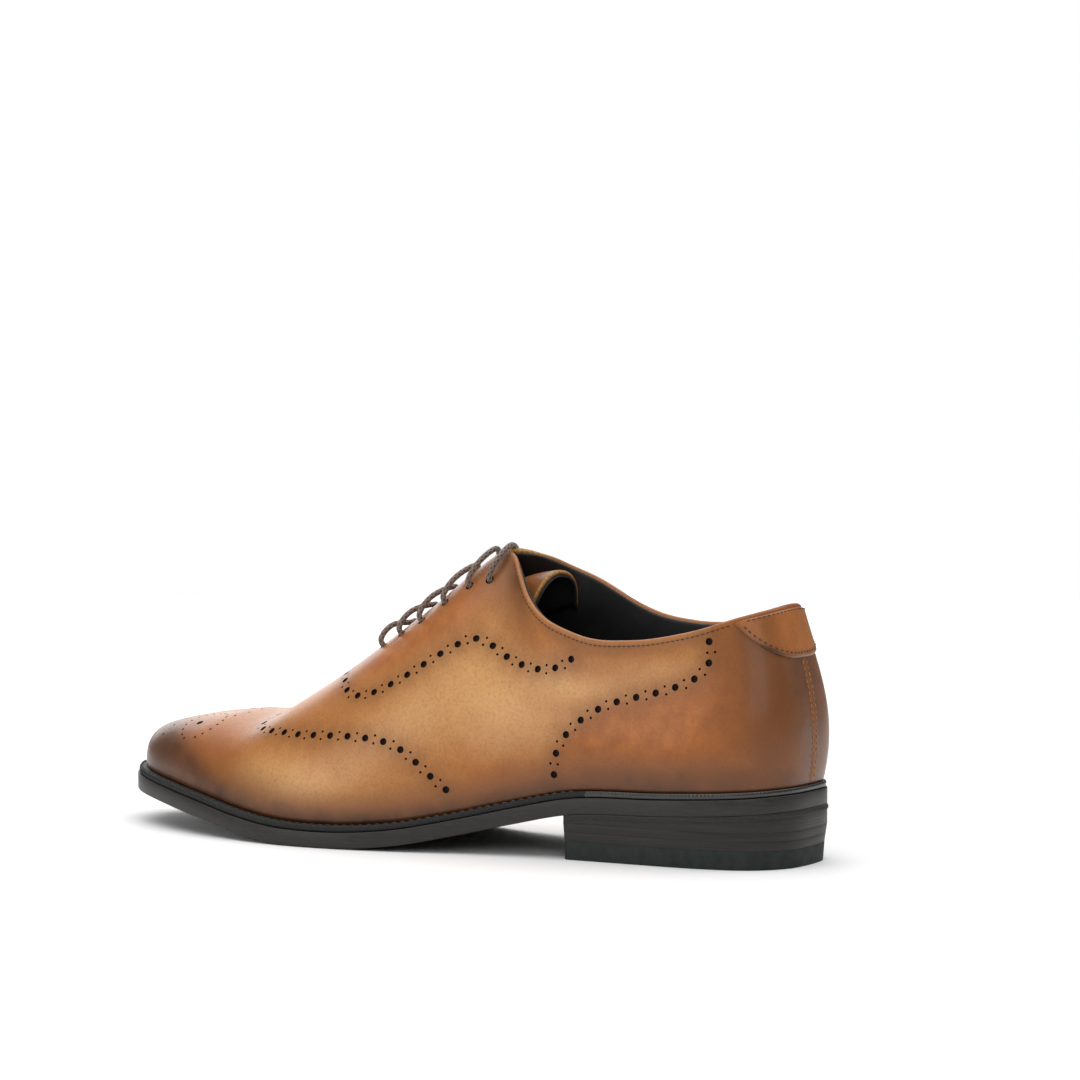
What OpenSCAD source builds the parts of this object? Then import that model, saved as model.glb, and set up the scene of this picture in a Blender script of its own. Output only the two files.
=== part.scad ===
// Wholecut leather oxford shoe for the left foot, with wing-tip style punching.
// Toe towards -Y, outer side of the foot towards +X, ground at z = 0.

/* [Sole] */
// Thickness of the leather outsole
outsole_t = 6; // [5:0.5:7]
// Thickness of the welt strip between upper and outsole
welt_t = 2.3; // [2:0.1:2.4]
// Height of the rubber top lift under the heel
top_lift_t = 7; // [6:0.5:8]
// Distance from the back of the heel to the heel breast
heel_length = 90; // [84:1:94]
// Inward taper of each heel lift below the one above it
lift_taper = 0.5; // [0:0.1:0.8]
// Width of the steel shank
shank_w = 16; // [12:1:20]
// Diameter of the heel nails
nail_d = 1.8; // [1.4:0.1:2.2]

/* [Leather] */
// Thickness of the outer leather
upper_t = 1.4; // [1.2:0.1:1.5]
// Thickness of the lining leather
lining_t = 0.8; // [0.6:0.1:0.9]
// Thickness of the heel counter and the toe puff
stiffener_t = 0.85; // [0.6:0.05:0.9]
// Width of the margin turned in under the insole
lasting_margin = 12; // [10:0.5:13]
// Thickness of the tongue leather
tongue_t = 2.2; // [1.8:0.1:2.4]
// Thickness of the insole
insole_t = 2.7; // [2:0.1:3]
// Thickness of the sock liner
sock_t = 1; // [0.8:0.1:1.4]

/* [Lacing] */
// Diameter of the round waxed lace
lace_d = 2.2; // [1.8:0.1:2.4]
// Diameter of each punched lace hole
hole_d = 3.4; // [3:0.1:3.6]
// Diameter of each aglet
aglet_d = 2.6; // [2.4:0.1:3]
// Length of each aglet
aglet_l = 18; // [14:1:22]

/* [Hidden] */
$fn = 32;
// Pairs of lace holes
hole_rows = 6;

// Middle of the shoe in the tables below, which start at the back of the heel
mid_x = -0.4;
mid_u = 150.3;

// Stations run once round the foot: 0 at the heel, 13 at the toe tip and 26 back at the heel.
// The outer side is 0 to 13. The inner side counts back from 26.
toe = 13;
lap = 26;
// The facings part between the topline and this station, and meet along a ridge beyond it
throat = 9.4;

// Feather line, where the upper meets the sole: station, x, distance from the heel
feather_outer = [
    [0, 0, 4.5], [1, 15, 6.8], [2, 26.3, 17.5], [3, 31, 38], [4, 31.5, 66], [5, 32, 95],
    [6, 35.5, 124], [7, 41.5, 152], [8, 46, 180], [9, 46, 207], [10, 39.5, 236],
    [11, 29.5, 262], [12, 15.5, 284.5], [13, -4, 294.5]
];
feather_inner = [
    [0, 0, 4.5], [1, -15, 6.8], [2, -26.3, 17.5], [3, -31, 38], [4, -30.5, 66], [5, -27, 95],
    [6, -26, 124], [7, -31, 152], [8, -40, 180], [9, -46.5, 207], [10, -46.5, 236],
    [11, -38.5, 262], [12, -23.5, 284.5], [13, -4, 294.5]
];
// Underside of the outsole: distance from the heel, height above the ground
sole_line = [
    [0, 21.5], [20, 20], [50, 18.4], [90, 16.3], [110, 12], [134, 6.4], [155, 2.2], [175, 0.3],
    [190, 0], [208, 0.8], [226, 3.2], [246, 6.8], [265, 9.6], [285, 12], [302, 13.5]
];
// Top edge of the upper, then the facing edge and the ridge down the vamp:
// station, x, distance from the heel, height
edge_outer = [
    [0, 0, 12, 94.5], [1, 12.5, 15, 93.2], [2, 20.5, 25, 90], [3, 25, 43, 84.2],
    [4, 26.5, 66, 80.4], [5, 26, 89, 81.8], [5.5, 23, 104, 87], [6, 17, 115, 95],
    [6.35, 11.5, 121, 102.5], [6.7, 6, 126, 108.5], [7, 2.2, 131, 110.5], [8, 2, 159, 90.5],
    [9, 2, 188, 69], [9.4, 0, 198, 62], [10, 0, 217, 49.3], [11, -1, 243, 45],
    [12, -2, 259, 43], [13, -3, 268, 41]
];
edge_inner = [
    [0, 0, 12, 94.5], [1, -12.5, 15, 93.2], [2, -20.5, 25, 90], [3, -25, 43, 85],
    [4, -26.5, 66, 84], [5, -26, 89, 89.5], [5.5, -23, 104, 98], [6, -18, 115, 103.5],
    [6.35, -13, 122, 107.5], [6.7, -7, 127.5, 110.2], [7, -2.2, 132, 111], [8, -2, 159, 90.5],
    [9, -2, 188, 69], [9.4, 0, 198, 62], [10, 0, 217, 49.3], [11, -1, 243, 45],
    [12, -2, 259, 43], [13, -3, 268, 41]
];
// Wall section at each station: outward lean and rise of its lower handle, reach and drop of
// its upper handle, and how far the upper handle follows the slope of the ridge
section_shape = [
    [0, 5.1, 0.4, 0.6, 0.35, 0], [1, 6, 0.4, 0.75, 0.35, 0], [2, 4.5, 0.4, 0.32, 0.35, 0],
    [3, 4, 0.4, -0.08, 0.35, 0], [4, 4, 0.4, -0.05, 0.35, 0], [5, 4, 0.4, 0, 0.33, 0],
    [6, 3.5, 0.42, 0.12, 0.22, 0], [7, 2.5, 0.42, 0.3, 0.08, 0.3], [8, 2, 0.45, 0.34, 0, 1],
    [9, 2, 0.52, 0.42, 0, 1], [10, 1.5, 0.62, 0.53, 0, 1], [11, 1.5, 0.7, 0.62, 0, 1],
    [12, 1.2, 0.74, 0.66, 0, 1], [13, 1, 0.76, 0.68, 0, 1]
];
// Slope of the ridge: distance from the heel, rise for each millimetre
ridge_slope = [
    [0, 0], [131, -0.65], [188, -0.69], [217, -0.42], [243, -0.15], [270, -0.2], [300, -0.2]
];
// How far the outsole stands out from the feather line: station, distance
sole_edge_outer = [
    [0, 1.4], [3, 2], [4, 2.3], [5, 2.6], [6, 3.2], [7, 4.2], [8, 5], [9, 5], [10, 4.8],
    [11, 4.4], [12, 3.7], [13, 3.2]
];
sole_edge_inner = [
    [0, 1.4], [3, 2], [4, 2.3], [5, 2.6], [6, 2.6], [7, 3.4], [8, 4.2], [9, 5], [10, 5],
    [11, 4.5], [12, 3.8], [13, 3.2]
];
// Tongue: distance from the heel, height of its crown, x of its crown, half width, arch
tongue_line = [
    [198, 57.6, 0, 9, 0.012], [192, 59.6, 0, 11, 0.015], [186, 61.4, 0, 13, 0.02],
    [175, 68.7, 0.3, 14.5, 0.022], [160, 79.3, 1.6, 14.5, 0.036], [145, 89.7, 2.4, 13.5, 0.062],
    [131, 98, 1.2, 12.5, 0.09], [121, 102, -1.1, 12.9, 0.072], [114, 103.5, -1.7, 14.4, 0.046],
    [110.5, 104, -1.8, 15.2, 0.036]
];

// Heights above the underside of the outsole, from the bottom of the stack to the top
gap = 0.15;
welt_low = outsole_t + gap;
feather_h = outsole_t + welt_t + 2 * gap;
margin_high = feather_h + upper_t - 0.1;
lining_low = margin_high + 0.1;
lining_high = lining_low + lining_t;
insole_low = lining_high + 0.1;
insole_high = insole_low + insole_t;
sock_low = insole_high + 0.1;
sock_high = sock_low + sock_t;

// Depths below the outer face of the upper
inner_low = upper_t + 0.1;
lining_out = inner_low + stiffener_t + 0.1;
lining_in = lining_out + lining_t;
lace_depth = lining_in + 2.2;

// Stations of the sections and shares of the wall height, the same in every layer.
// One station is at the heel breast.
breast = 4 + (heel_length - 66) / 29;
half_stations = [
    0, 0.5, 1, 1.5, 2, 2.5, 3, 3.5, 4, 4.5, breast, 5.15, 5.5, 6, 6.35, 6.7, 7, 7.4, 7.8, 8.2,
    8.6, 9, 9.4, 10, 10.5, 11, 11.5, 12, 12.4, 12.7, 13
];
wall_shares = [0, 0.07, 0.15, 0.25, 0.36, 0.48, 0.6, 0.71, 0.81, 0.9, 0.96, 1];
half_last = len(half_stations) - 1;
stations = concat(
    half_stations,
    [for (i = [half_last - 1:-1:1]) lap - half_stations[i]]
);
count = len(stations);
top = len(wall_shares) - 1;

// ---- Smooth curves through a table's rows ----
function row_before(tab, q, i = 0) =
    i >= len(tab) - 2 || q < tab[i + 1][0] ? i : row_before(tab, q, i + 1);
function step(tab, i, k) = (tab[i + 1][k] - tab[i][k]) / (tab[i + 1][0] - tab[i][0]);
function tangent(tab, i, k) =
    i == 0 ? step(tab, 0, k) :
    i == len(tab) - 1 ? step(tab, i - 1, k) :
    let (
        before = tab[i][0] - tab[i - 1][0],
        after = tab[i + 1][0] - tab[i][0]
    )
    (step(tab, i - 1, k) * after + step(tab, i, k) * before) / (before + after);
function curve(tab, q, k = 1) =
    let (
        i = row_before(tab, q),
        h = tab[i + 1][0] - tab[i][0],
        s = (q - tab[i][0]) / h,
        a = tab[i][k],
        b = tab[i + 1][k],
        ma = tangent(tab, i, k) * h,
        mb = tangent(tab, i + 1, k) * h
    )
    a + s * (ma + s * (3 * (b - a) - 2 * ma - mb + s * (2 * (a - b) + ma + mb)));
function moved_row(row, q) = concat([q], [for (k = [1:len(row) - 1]) row[k]]);
// One lap of stations from an outer and an inner table, with two rows more at each end
function lap_table(outer, inner) = concat(
    [for (i = [2, 1]) moved_row(inner[i], -inner[i][0])],
    outer,
    [for (i = [len(inner) - 2:-1:0]) moved_row(inner[i], lap - inner[i][0])],
    [for (i = [1, 2]) moved_row(outer[i], lap + outer[i][0])]
);
feather = lap_table(feather_outer, feather_inner);
edge = lap_table(edge_outer, edge_inner);
shape = lap_table(section_shape, section_shape);
sole_edge = lap_table(sole_edge_outer, sole_edge_inner);

function unit(v) = v / norm(v);
function at(x, u, z) = [x - mid_x, mid_u - u, z];
function sole_z(y, h) = curve(sole_line, mid_u - y) + h;

// Feather line, and the way out from it seen from above
function feather_at(q) = [curve(feather, q, 1) - mid_x, mid_u - curve(feather, q, 2)];
function outward(q) =
    let (d = feather_at(q + 0.02) - feather_at(q - 0.02))
    unit([-d[1], d[0]]);
// Point on the sole stack: distance out from the feather line, height above the outsole's face
function on_sole(q, out, h) =
    let (p = feather_at(q) + outward(q) * out)
    [p[0], p[1], sole_z(p[1], h)];

// Top edge of the wall. Beyond the throat both sides share one ridge
function side_edge(q) = at(curve(edge, q, 1), curve(edge, q, 2), curve(edge, q, 3));
function on_ridge(q) = q > throat - 0.01 && q < lap - throat + 0.01;
function edge_at(q) = on_ridge(q) ? (side_edge(q) + side_edge(lap - q)) / 2 : side_edge(q);

// The four handles of the wall's section at a station
function handles(q) =
    let (
        foot = on_sole(q, 0, feather_h),
        n = outward(q),
        rim = edge_at(q),
        rise = rim[2] - foot[2],
        reach = [foot[0] - rim[0], foot[1] - rim[1]] * curve(shape, q, 3),
        slope = curve(ridge_slope, mid_u - rim[1]) * curve(shape, q, 5)
    )
    [
        foot,
        foot + [n[0], n[1], 0] * curve(shape, q, 1) + [0, 0, rise * curve(shape, q, 2)],
        rim + [reach[0], reach[1], -curve(shape, q, 4) * rise - slope * reach[1]],
        rim
    ];
function along(p, v) =
    let (w = 1 - v)
    p[0] * w * w * w + p[1] * 3 * w * w * v + p[2] * 3 * w * v * v + p[3] * v * v * v;
function climb(p, v) =
    let (w = 1 - v)
    unit((p[1] - p[0]) * w * w + (p[2] - p[1]) * 2 * w * v + (p[3] - p[2]) * v * v);
function wall(q, v) = along(handles(q), v);

// ---- The outer face as a grid of points, with its normals ----
sections = [for (q = stations) handles(q)];
face = [for (p = sections) [for (v = wall_shares) along(p, v)]];
side_normal = [
    for (i = [0:count - 1]) [
        for (j = [0:top])
            let (k = min(j, top - 1))
            unit(cross(
                climb(sections[i], min(wall_shares[j], 0.97)),
                face[(i + 1) % count][k] - face[(i + count - 1) % count][k]
            ))
    ]
];
function twin(i) = (count - i) % count;
normal = [
    for (i = [0:count - 1]) [
        for (j = [0:top])
            j == top && on_ridge(stations[i]) ?
                unit(side_normal[i][j] + side_normal[twin(i)][j]) : side_normal[i][j]
    ]
];
function layer(i, j, depth) = face[i][j] - normal[i][j] * depth;

// ---- Solids between two grids of points ----
function flat(rows) = [for (row = rows) each row];
function quad(a, b, c, d) = [[a, b, c], [a, c, d]];
// low and high are grids of the same size. ring closes the last row on the first. Where a row's
// station is on the ridge, its last point is its twin's and no rim is drawn.
module slab(low, high, ring = false, ridge = []) {
    n = len(low);
    m = len(low[0]);
    cells = ring ? n : n - 1;
    function on(i) = len(ridge) > 0 && ridge[i % n];
    function mate(i) = ring ? (n - i) % n : n - 1 - i;
    function row(i, k) = k == m - 1 && on(i) && mate(i) < i ? mate(i) : i;
    function a(i, k) = row(i % n, k) * m + k;
    function b(i, k) = n * m + a(i, k);
    polyhedron(
        points = concat(flat(low), flat(high)),
        faces = flat(flat([
            for (i = [0:cells - 1]) [
                for (k = [0:m - 2]) quad(a(i, k), a(i + 1, k), a(i + 1, k + 1), a(i, k + 1)),
                for (k = [0:m - 2]) [
                    [b(i, k), b(i + 1, k + 1), b(i + 1, k)],
                    [b(i, k), b(i, k + 1), b(i + 1, k + 1)]
                ],
                quad(a(i + 1, 0), a(i, 0), b(i, 0), b(i + 1, 0)),
                if (!(on(i) && on(i + 1)))
                    quad(a(i, m - 1), a(i + 1, m - 1), b(i + 1, m - 1), b(i, m - 1))
            ],
            if (!ring) [
                for (k = [0:m - 2]) quad(a(0, k), a(0, k + 1), b(0, k + 1), b(0, k)),
                for (k = [0:m - 2])
                    quad(a(n - 1, k + 1), a(n - 1, k), b(n - 1, k), b(n - 1, k + 1))
            ]
        ]))
    );
}
// A plate between two outlines of the same number of points, each going round as the stations do
module plate(low, high) {
    n = len(low);
    half = floor((n - 2) / 2);
    function cell(i) =
        i == 0 ? [[0, 1, n - 1]] :
        i + 1 == n - i - 1 ? [[i, i + 1, n - i]] : quad(i, i + 1, n - i - 1, n - i);
    lid = flat([for (i = [0:half]) cell(i)]);
    polyhedron(
        points = concat(low, high),
        faces = concat(
            [for (f = lid) [f[0] + n, f[1] + n, f[2] + n]],
            [for (f = lid) [f[0], f[2], f[1]]],
            flat([for (i = [0:n - 1]) quad(i, (i + 1) % n, (i + 1) % n + n, i + n)])
        )
    );
}
// A patch of one layer: rows of stations from first to last, wall shares from low to high
module patch(first, last, low, high, depth_out, depth_in) {
    rows = [for (i = [first:last]) (i + count) % count];
    slab(
        [for (i = rows) [for (j = [low:high]) layer(i, j, depth_out)]],
        [for (i = rows) [for (j = [low:high]) layer(i, j, depth_in)]]
    );
}
// A layer of the wall with its margin turned in under the insole
function skin_row(i, depth, h) = concat(
    [on_sole(stations[i], -lasting_margin, h), on_sole(stations[i], -depth, h)],
    [for (j = [1:top]) layer(i, j, depth)]
);
module lasted(first, last, depth_out, depth_in, h_low, h_high) {
    ring = last - first + 1 >= count;
    rows = [for (i = [first:ring ? first + count - 1 : last]) (i + count) % count];
    slab(
        [for (i = rows) skin_row(i, depth_out, h_low)],
        [for (i = rows) skin_row(i, depth_in, h_high)],
        ring,
        [for (i = rows) on_ridge(stations[i])]
    );
}
function station_index(q) = search(q, half_stations)[0];

// ---- Lace holes ----
// The row bows away from the facing's edge between its end holes
end_hole_share = 0.8;
row_bow = 0.05;
first_row = 8.5;
row_step = 0.322;
function hole_share(r) = end_hole_share - row_bow * (1 - pow(2 * r / (hole_rows - 1) - 1, 2));
function hole_station(r, outer) = outer ? first_row - row_step * r : lap - first_row + row_step * r;
function hole_at(r, outer) = wall(hole_station(r, outer), hole_share(r));
function hole_rise(r, outer) = climb(handles(hole_station(r, outer)), hole_share(r));
function hole_axis(r, outer) =
    let (q = hole_station(r, outer))
    unit(cross(
        hole_rise(r, outer), wall(q + 0.05, hole_share(r)) - wall(q - 0.05, hole_share(r))
    ));
module point_along(axis) {
    rotate([0, acos(axis[2]), atan2(axis[1], axis[0])]) children();
}
module at_holes(sides) {
    for (outer = sides)
        for (r = [0:hole_rows - 1])
            translate(hole_at(r, outer))
                point_along(hole_axis(r, outer))
                    children();
}
both_sides = [true, false];
barrel_d = hole_d + 1;
module lace_holes(sides, d) {
    at_holes(sides)
        translate([0, 0, -9])
            cylinder(d = d, h = 13);
}

// ---- Upper and what stiffens it ----
module upper() {
    color("peru")
        difference() {
            lasted(0, count - 1, 0, upper_t, feather_h, margin_high);
            lace_holes(both_sides, hole_d);
        }
}
// Applied tab over the top of the back seam, lower in the middle than at its ends
module heel_tab() {
    reach = station_index(2);
    tab_t = 1;
    function low_share(q) = 0.71 + 0.26 * pow(q / 2, 2.6);
    function tab_row(i, lift) =
        let (q = half_stations[abs(i)])
        [for (s = [0, 0.5, 1])
            let (
                j = (i + count) % count,
                v = low_share(q) + (0.985 - low_share(q)) * s,
                n = unit(normal[j][9] + normal[j][10])
            )
            along(sections[j], v) + n * lift];
    color("saddlebrown")
        slab(
            [for (i = [-reach:reach]) tab_row(i, tab_t + gap)],
            [for (i = [-reach:reach]) tab_row(i, gap)]
        );
}
module topline_tape() {
    reach = station_index(6.35);
    color("wheat")
        patch(-reach, reach, top - 2, top - 1, inner_low, inner_low + stiffener_t);
}
module toe_puff() {
    reach = half_last - station_index(11.5);
    color("tan")
        patch(half_last - reach, half_last + reach, 1, top - 3, inner_low, inner_low + stiffener_t);
}
module heel_counter() {
    reach = station_index(3.5);
    color("tan")
        patch(-reach, reach, 1, 6, inner_low, inner_low + stiffener_t);
}
interlining_t = 0.6;
module interlining_lateral() {
    color("linen")
        patch(station_index(4), station_index(11), 1, 6, inner_low, inner_low + interlining_t);
}
module interlining_medial() {
    color("linen")
        patch(count - station_index(11), count - station_index(4), 1, 6,
            inner_low, inner_low + interlining_t);
}
// Doubler under each row of lace holes
module facing_stay_lateral() {
    color("burlywood")
        difference() {
            patch(station_index(6.7), station_index(9), 7, top - 1,
                inner_low, inner_low + stiffener_t);
            lace_holes([true], barrel_d + 0.3);
        }
}
module facing_stay_medial() {
    color("burlywood")
        difference() {
            patch(count - station_index(9), count - station_index(6.7), 7, top - 1,
                inner_low, inner_low + stiffener_t);
            lace_holes([false], barrel_d + 0.3);
        }
}
// The lining is in three parts, seamed at the back and in front of the lace holes
lining_seam = station_index(9);
module vamp_lining() {
    color("dimgray")
        lasted(lining_seam, count - lining_seam, lining_out, lining_in, lining_low, lining_high);
}
module quarter_lining_lateral() {
    color("darkslategray")
        difference() {
            lasted(0, lining_seam, lining_out, lining_in, lining_low, lining_high);
            lace_holes([true], barrel_d + 0.3);
        }
}
module quarter_lining_medial() {
    color("darkslategray")
        difference() {
            lasted(count - lining_seam, count, lining_out, lining_in, lining_low, lining_high);
            lace_holes([false], barrel_d + 0.3);
        }
}
// Metal rings let in from the lining side, hidden from outside
module blind_eyelets() {
    flange_d = 7;
    color("silver")
        at_holes(both_sides)
            rotate_extrude()
                polygon([
                    [hole_d / 2, -inner_low - 0.4], [barrel_d / 2, -inner_low - 0.4],
                    [barrel_d / 2, -lining_in - 0.8], [flange_d / 2, -lining_in - 0.8],
                    [flange_d / 2, -lining_in - 1.2], [hole_d / 2, -lining_in - 1.2]
                ]);
}

// ---- Tongue ----
tongue_rows = 14;
tongue_cols = 10;
// Rows go from the sewn root to the free end, columns across from the inner side
function tongue_point(i, k) =
    let (
        s = i / tongue_rows * (len(tongue_line) - 1),
        line = [for (r = [0:len(tongue_line) - 1]) concat([r], tongue_line[r])],
        side = 2 * k / tongue_cols - 1,
        across = side * curve(line, s, 4),
        end = pow(i / tongue_rows, 6),
        round_end = (3 * pow(side, 4) + 2.5 * side) * end,
        curl = 1 + 0.9 * pow(side, 4) * end
    )
    at(
        curve(line, s, 3) + across,
        curve(line, s, 1) + round_end,
        curve(line, s, 2) - curve(line, s, 5) * across * across * curl
    );
tongue_face = [for (i = [0:tongue_rows]) [for (k = [0:tongue_cols]) tongue_point(i, k)]];
function tongue_normal(i, k) =
    unit(cross(
        tongue_face[i][min(k + 1, tongue_cols)] - tongue_face[i][max(k - 1, 0)],
        tongue_face[min(i + 1, tongue_rows)][k] - tongue_face[max(i - 1, 0)][k]
    ));
module tongue_layer(depth_out, depth_in) {
    slab(
        [for (i = [0:tongue_rows]) [
            for (k = [0:tongue_cols]) tongue_face[i][k] - tongue_normal(i, k) * depth_out
        ]],
        [for (i = [0:tongue_rows]) [
            for (k = [0:tongue_cols]) tongue_face[i][k] - tongue_normal(i, k) * depth_in
        ]]
    );
}
module tongue() {
    color("sienna") tongue_layer(0, tongue_t);
}
module tongue_lining() {
    color("dimgray") tongue_layer(tongue_t + 0.05, tongue_t + 0.05 + lining_t);
}

// ---- Sole stack ----
function sole_ring(out, h) = [for (q = stations) on_sole(q, out, h)];
function sole_rim(h, inset) = [for (q = stations) on_sole(q, curve(sole_edge, q) - inset, h)];
module outsole() {
    color("dimgray") plate(sole_rim(0, 0), sole_rim(outsole_t, 0));
}
module welt_strip(first, last, width, inset, low, high) {
    rows = [for (i = [first:last]) stations[(i + count) % count]];
    slab(
        [for (q = rows) [on_sole(q, curve(sole_edge, q) - inset, high), on_sole(q, -width, high)]],
        [for (q = rows) [on_sole(q, curve(sole_edge, q) - inset, low), on_sole(q, -width, low)]]
    );
}
welt_start = station_index(4.5);
module welt() {
    color("black")
        welt_strip(welt_start, count - welt_start, 8, 0.6, welt_low, welt_low + welt_t);
}
// Thin rand that carries the welt line round the heel seat
module heel_rand() {
    color("black")
        welt_strip(-welt_start, welt_start, 8, 0.4, welt_low, welt_low + welt_t);
}
module insole() {
    color("burlywood")
        plate(sole_ring(-lining_in - 0.2, insole_low), sole_ring(-lining_in - 0.2, insole_high));
}
module sock_liner() {
    color("darkslategray")
        plate(sole_ring(-lining_in - 0.4, sock_low), sole_ring(-lining_in - 0.4, sock_high));
}
// Layer between outsole and insole, thinner under the shank
shank_end = 138;
filler_inset = lasting_margin + 2;
function filler_top(y) = mid_u - y < shank_end ? welt_low + 2.6 : insole_low - gap;
module cork_filler() {
    low = [for (q = stations) on_sole(q, -filler_inset, welt_low)];
    color("sandybrown")
        plate(low, [for (p = low) [p[0], p[1], sole_z(p[1], filler_top(p[1]))]]);
}
module shank() {
    back = 30;
    front = 128;
    slices = 14;
    shank_low = welt_low + 2.9;
    shank_t = 1.2;
    function strip(h) = [
        for (i = [0:slices])
            let (u = back + (front - back) * i / slices, y = mid_u - u)
            [[shank_w / 2 - mid_x, y, sole_z(y, h)], [-shank_w / 2 - mid_x, y, sole_z(y, h)]]
    ];
    color("silver") slab(strip(shank_low + shank_t), strip(shank_low));
}

// ---- Heel ----
heel_half = [for (q = half_stations) if (q < breast - 0.01) q];
heel_stations = concat(
    heel_half,
    [breast, lap - breast],
    [for (i = [len(heel_half) - 1:-1:1]) lap - heel_half[i]]
);
function heel_outline(inset) = [
    for (q = heel_stations) feather_at(q) + outward(q) * (curve(sole_edge, q) - inset)
];
lift_t = (13.8 - top_lift_t) / 2;
lift_low = [0, top_lift_t, top_lift_t + lift_t, top_lift_t + 2 * lift_t];
nail_low = 2.5;
nail_high = lift_low[3] - 0.3;
module nails(d, low, high) {
    for (x = [-15, 15], u = [22, 44, 66])
        translate([x - mid_x, mid_u - u, low])
            cylinder(d = d, h = high - low);
}
module heel_lift(level) {
    difference() {
        translate([0, 0, lift_low[level] + (level > 0 ? gap / 2 : 0)])
            linear_extrude(lift_low[level + 1] - lift_low[level] - (level > 0 ? gap : gap / 2))
                polygon(heel_outline((3 - level) * lift_taper));
        nails(nail_d + 0.2, nail_low - 0.1, nail_high + 0.1);
    }
}
module top_lift() {
    color("darkslategray") heel_lift(0);
}
module heel_lift_lower() {
    color("saddlebrown") heel_lift(1);
}
module heel_lift_upper() {
    color("saddlebrown") heel_lift(2);
}
module heel_seat_lift() {
    outline = heel_outline(0);
    color("saddlebrown")
        plate(
            [for (p = outline) [p[0], p[1], lift_low[3] + gap / 2]],
            [for (p = outline) [p[0], p[1], sole_z(p[1], -gap)]]
        );
}
module heel_nails() {
    color("silver") nails(nail_d, nail_low, nail_high);
}

// ---- Lace ----
// Rings of a tube round a route, each square to the route
function heading(route, i) =
    unit(route[min(i + 1, len(route) - 1)] - route[max(i - 1, 0)]);
function side_of(dir, old) =
    unit(old - dir * (old * dir));
function sides_along(route, i, old) =
    i >= len(route) ? [] :
    let (s = side_of(heading(route, i), old))
    concat([s], sides_along(route, i + 1, s));
module tube(route, d, start_side) {
    facets = 8;
    n = len(route);
    across = sides_along(route, 0, start_side);
    rings = [
        for (i = [0:n - 1]) [
            for (k = [0:facets - 1])
                let (w = cross(heading(route, i), across[i]), a = 360 * (k + 0.5) / facets)
                route[i] + (across[i] * cos(a) + w * sin(a)) * d / 2
        ]
    ];
    polyhedron(
        points = flat(rings),
        faces = concat(
            [[for (k = [0:facets - 1]) k]],
            [[for (k = [facets - 1:-1:0]) (n - 1) * facets + k]],
            flat([
                for (i = [0:n - 2], k = [0:facets - 1])
                    quad(i * facets + k, (i + 1) * facets + k,
                        (i + 1) * facets + (k + 1) % facets, i * facets + (k + 1) % facets)
            ])
        )
    );
}
// Order in which the bars are laced, from one free end to the other
bar_order = [4, 2, 0, 1, 3, 5];
// A lace hole's own directions: out of the leather, up to the facing edge, along to a row
function toward(r, outer, to) =
    let (d = hole_at(to, outer) - hole_at(r, outer), n = hole_axis(r, outer))
    unit(d - n * (d * n));
function at_hole(r, outer, out, up, side = 0, to = 0) =
    hole_at(r, outer) + hole_axis(r, outer) * out + hole_rise(r, outer) * up
    + (side == 0 ? [0, 0, 0] : toward(r, outer, to) * side);
// The loops stand up from the leather, less towards the top of the row
function loop_height(r) = 1 - 0.06 * r;
// From the inside of a hole out to the middle of the bar across the facings
function hole_to_bar(r, outer) =
    let (h = loop_height(r))
    [
        at_hole(r, outer, -lace_depth + 0.9, 0),
        at_hole(r, outer, -0.7, 0),
        at_hole(r, outer, 2.1 * h, 0.6),
        at_hole(r, outer, 3.4 * h, 3.2),
        at_hole(r, outer, 3.7 * h, 7.5)
    ];
function back_to_front(list) = [for (i = [len(list) - 1:-1:0]) list[i]];
function bar_middle(r) =
    (wall(hole_station(r, true), 1) + wall(hole_station(r, false), 1)) / 2
    + [0, -0.9, 1.9];
function bar(r, from_outer) = concat(
    hole_to_bar(r, from_outer), [bar_middle(r)], back_to_front(hole_to_bar(r, !from_outer))
);
// Inside the facing from one hole to the next one used, beside the hole that it passes
function run(a, b, outer) =
    let (
        long = abs(a - b) > 1,
        aside = long ? (b < a ? 2.6 : -2.6) : 0,
        between = long ? [at_hole((a + b) / 2, outer, -lace_depth, aside)] : []
    )
    concat(
        [at_hole(a, outer, -lace_depth, aside * 0.4, 3, b)],
        between,
        [at_hole(b, outer, -lace_depth, aside * 0.4, 3, a)]
    );
// Free ends, tucked down the inner side between tongue and lining. The rear one turns back
// along the sock from the top hole, the front one turns forward from the hole below it.
rear_end_route = [
    [-4.9, 17.7, 98.2], [-8.5, 13.5, 91.5], [-12.5, 10, 82], [-15.5, 7, 72], [-19, 4.5, 60.5],
    [-22, 2, 48.5], [-24, 0.5, 37], [-24, 1, 29.5], [-23.5, 4, 24], [-22.5, 10, 21.5],
    [-21, 18, 22.8], [-19.5, 28, 25.1], [-19, 38, 27.4], [-19.5, 48, 29.7], [-20.5, 58, 31.9],
    [-21, 68, 33.3], [-20.5, 78, 34]
];
front_end_route = [
    [-4.6, 9.5, 94.5], [-8, 5, 88.5], [-12.5, 1.5, 80], [-17, -2, 70], [-21, -5, 59],
    [-24, -7.5, 47], [-26.5, -9.5, 35], [-27, -11.5, 26.5], [-27, -15, 20.5], [-27, -21, 17.3],
    [-27.5, -30, 16.3], [-29, -40, 16.1], [-30.5, -50, 16.4], [-31, -60, 17.1],
    [-30, -70, 18.4], [-28.5, -80, 20.2]
];
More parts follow.
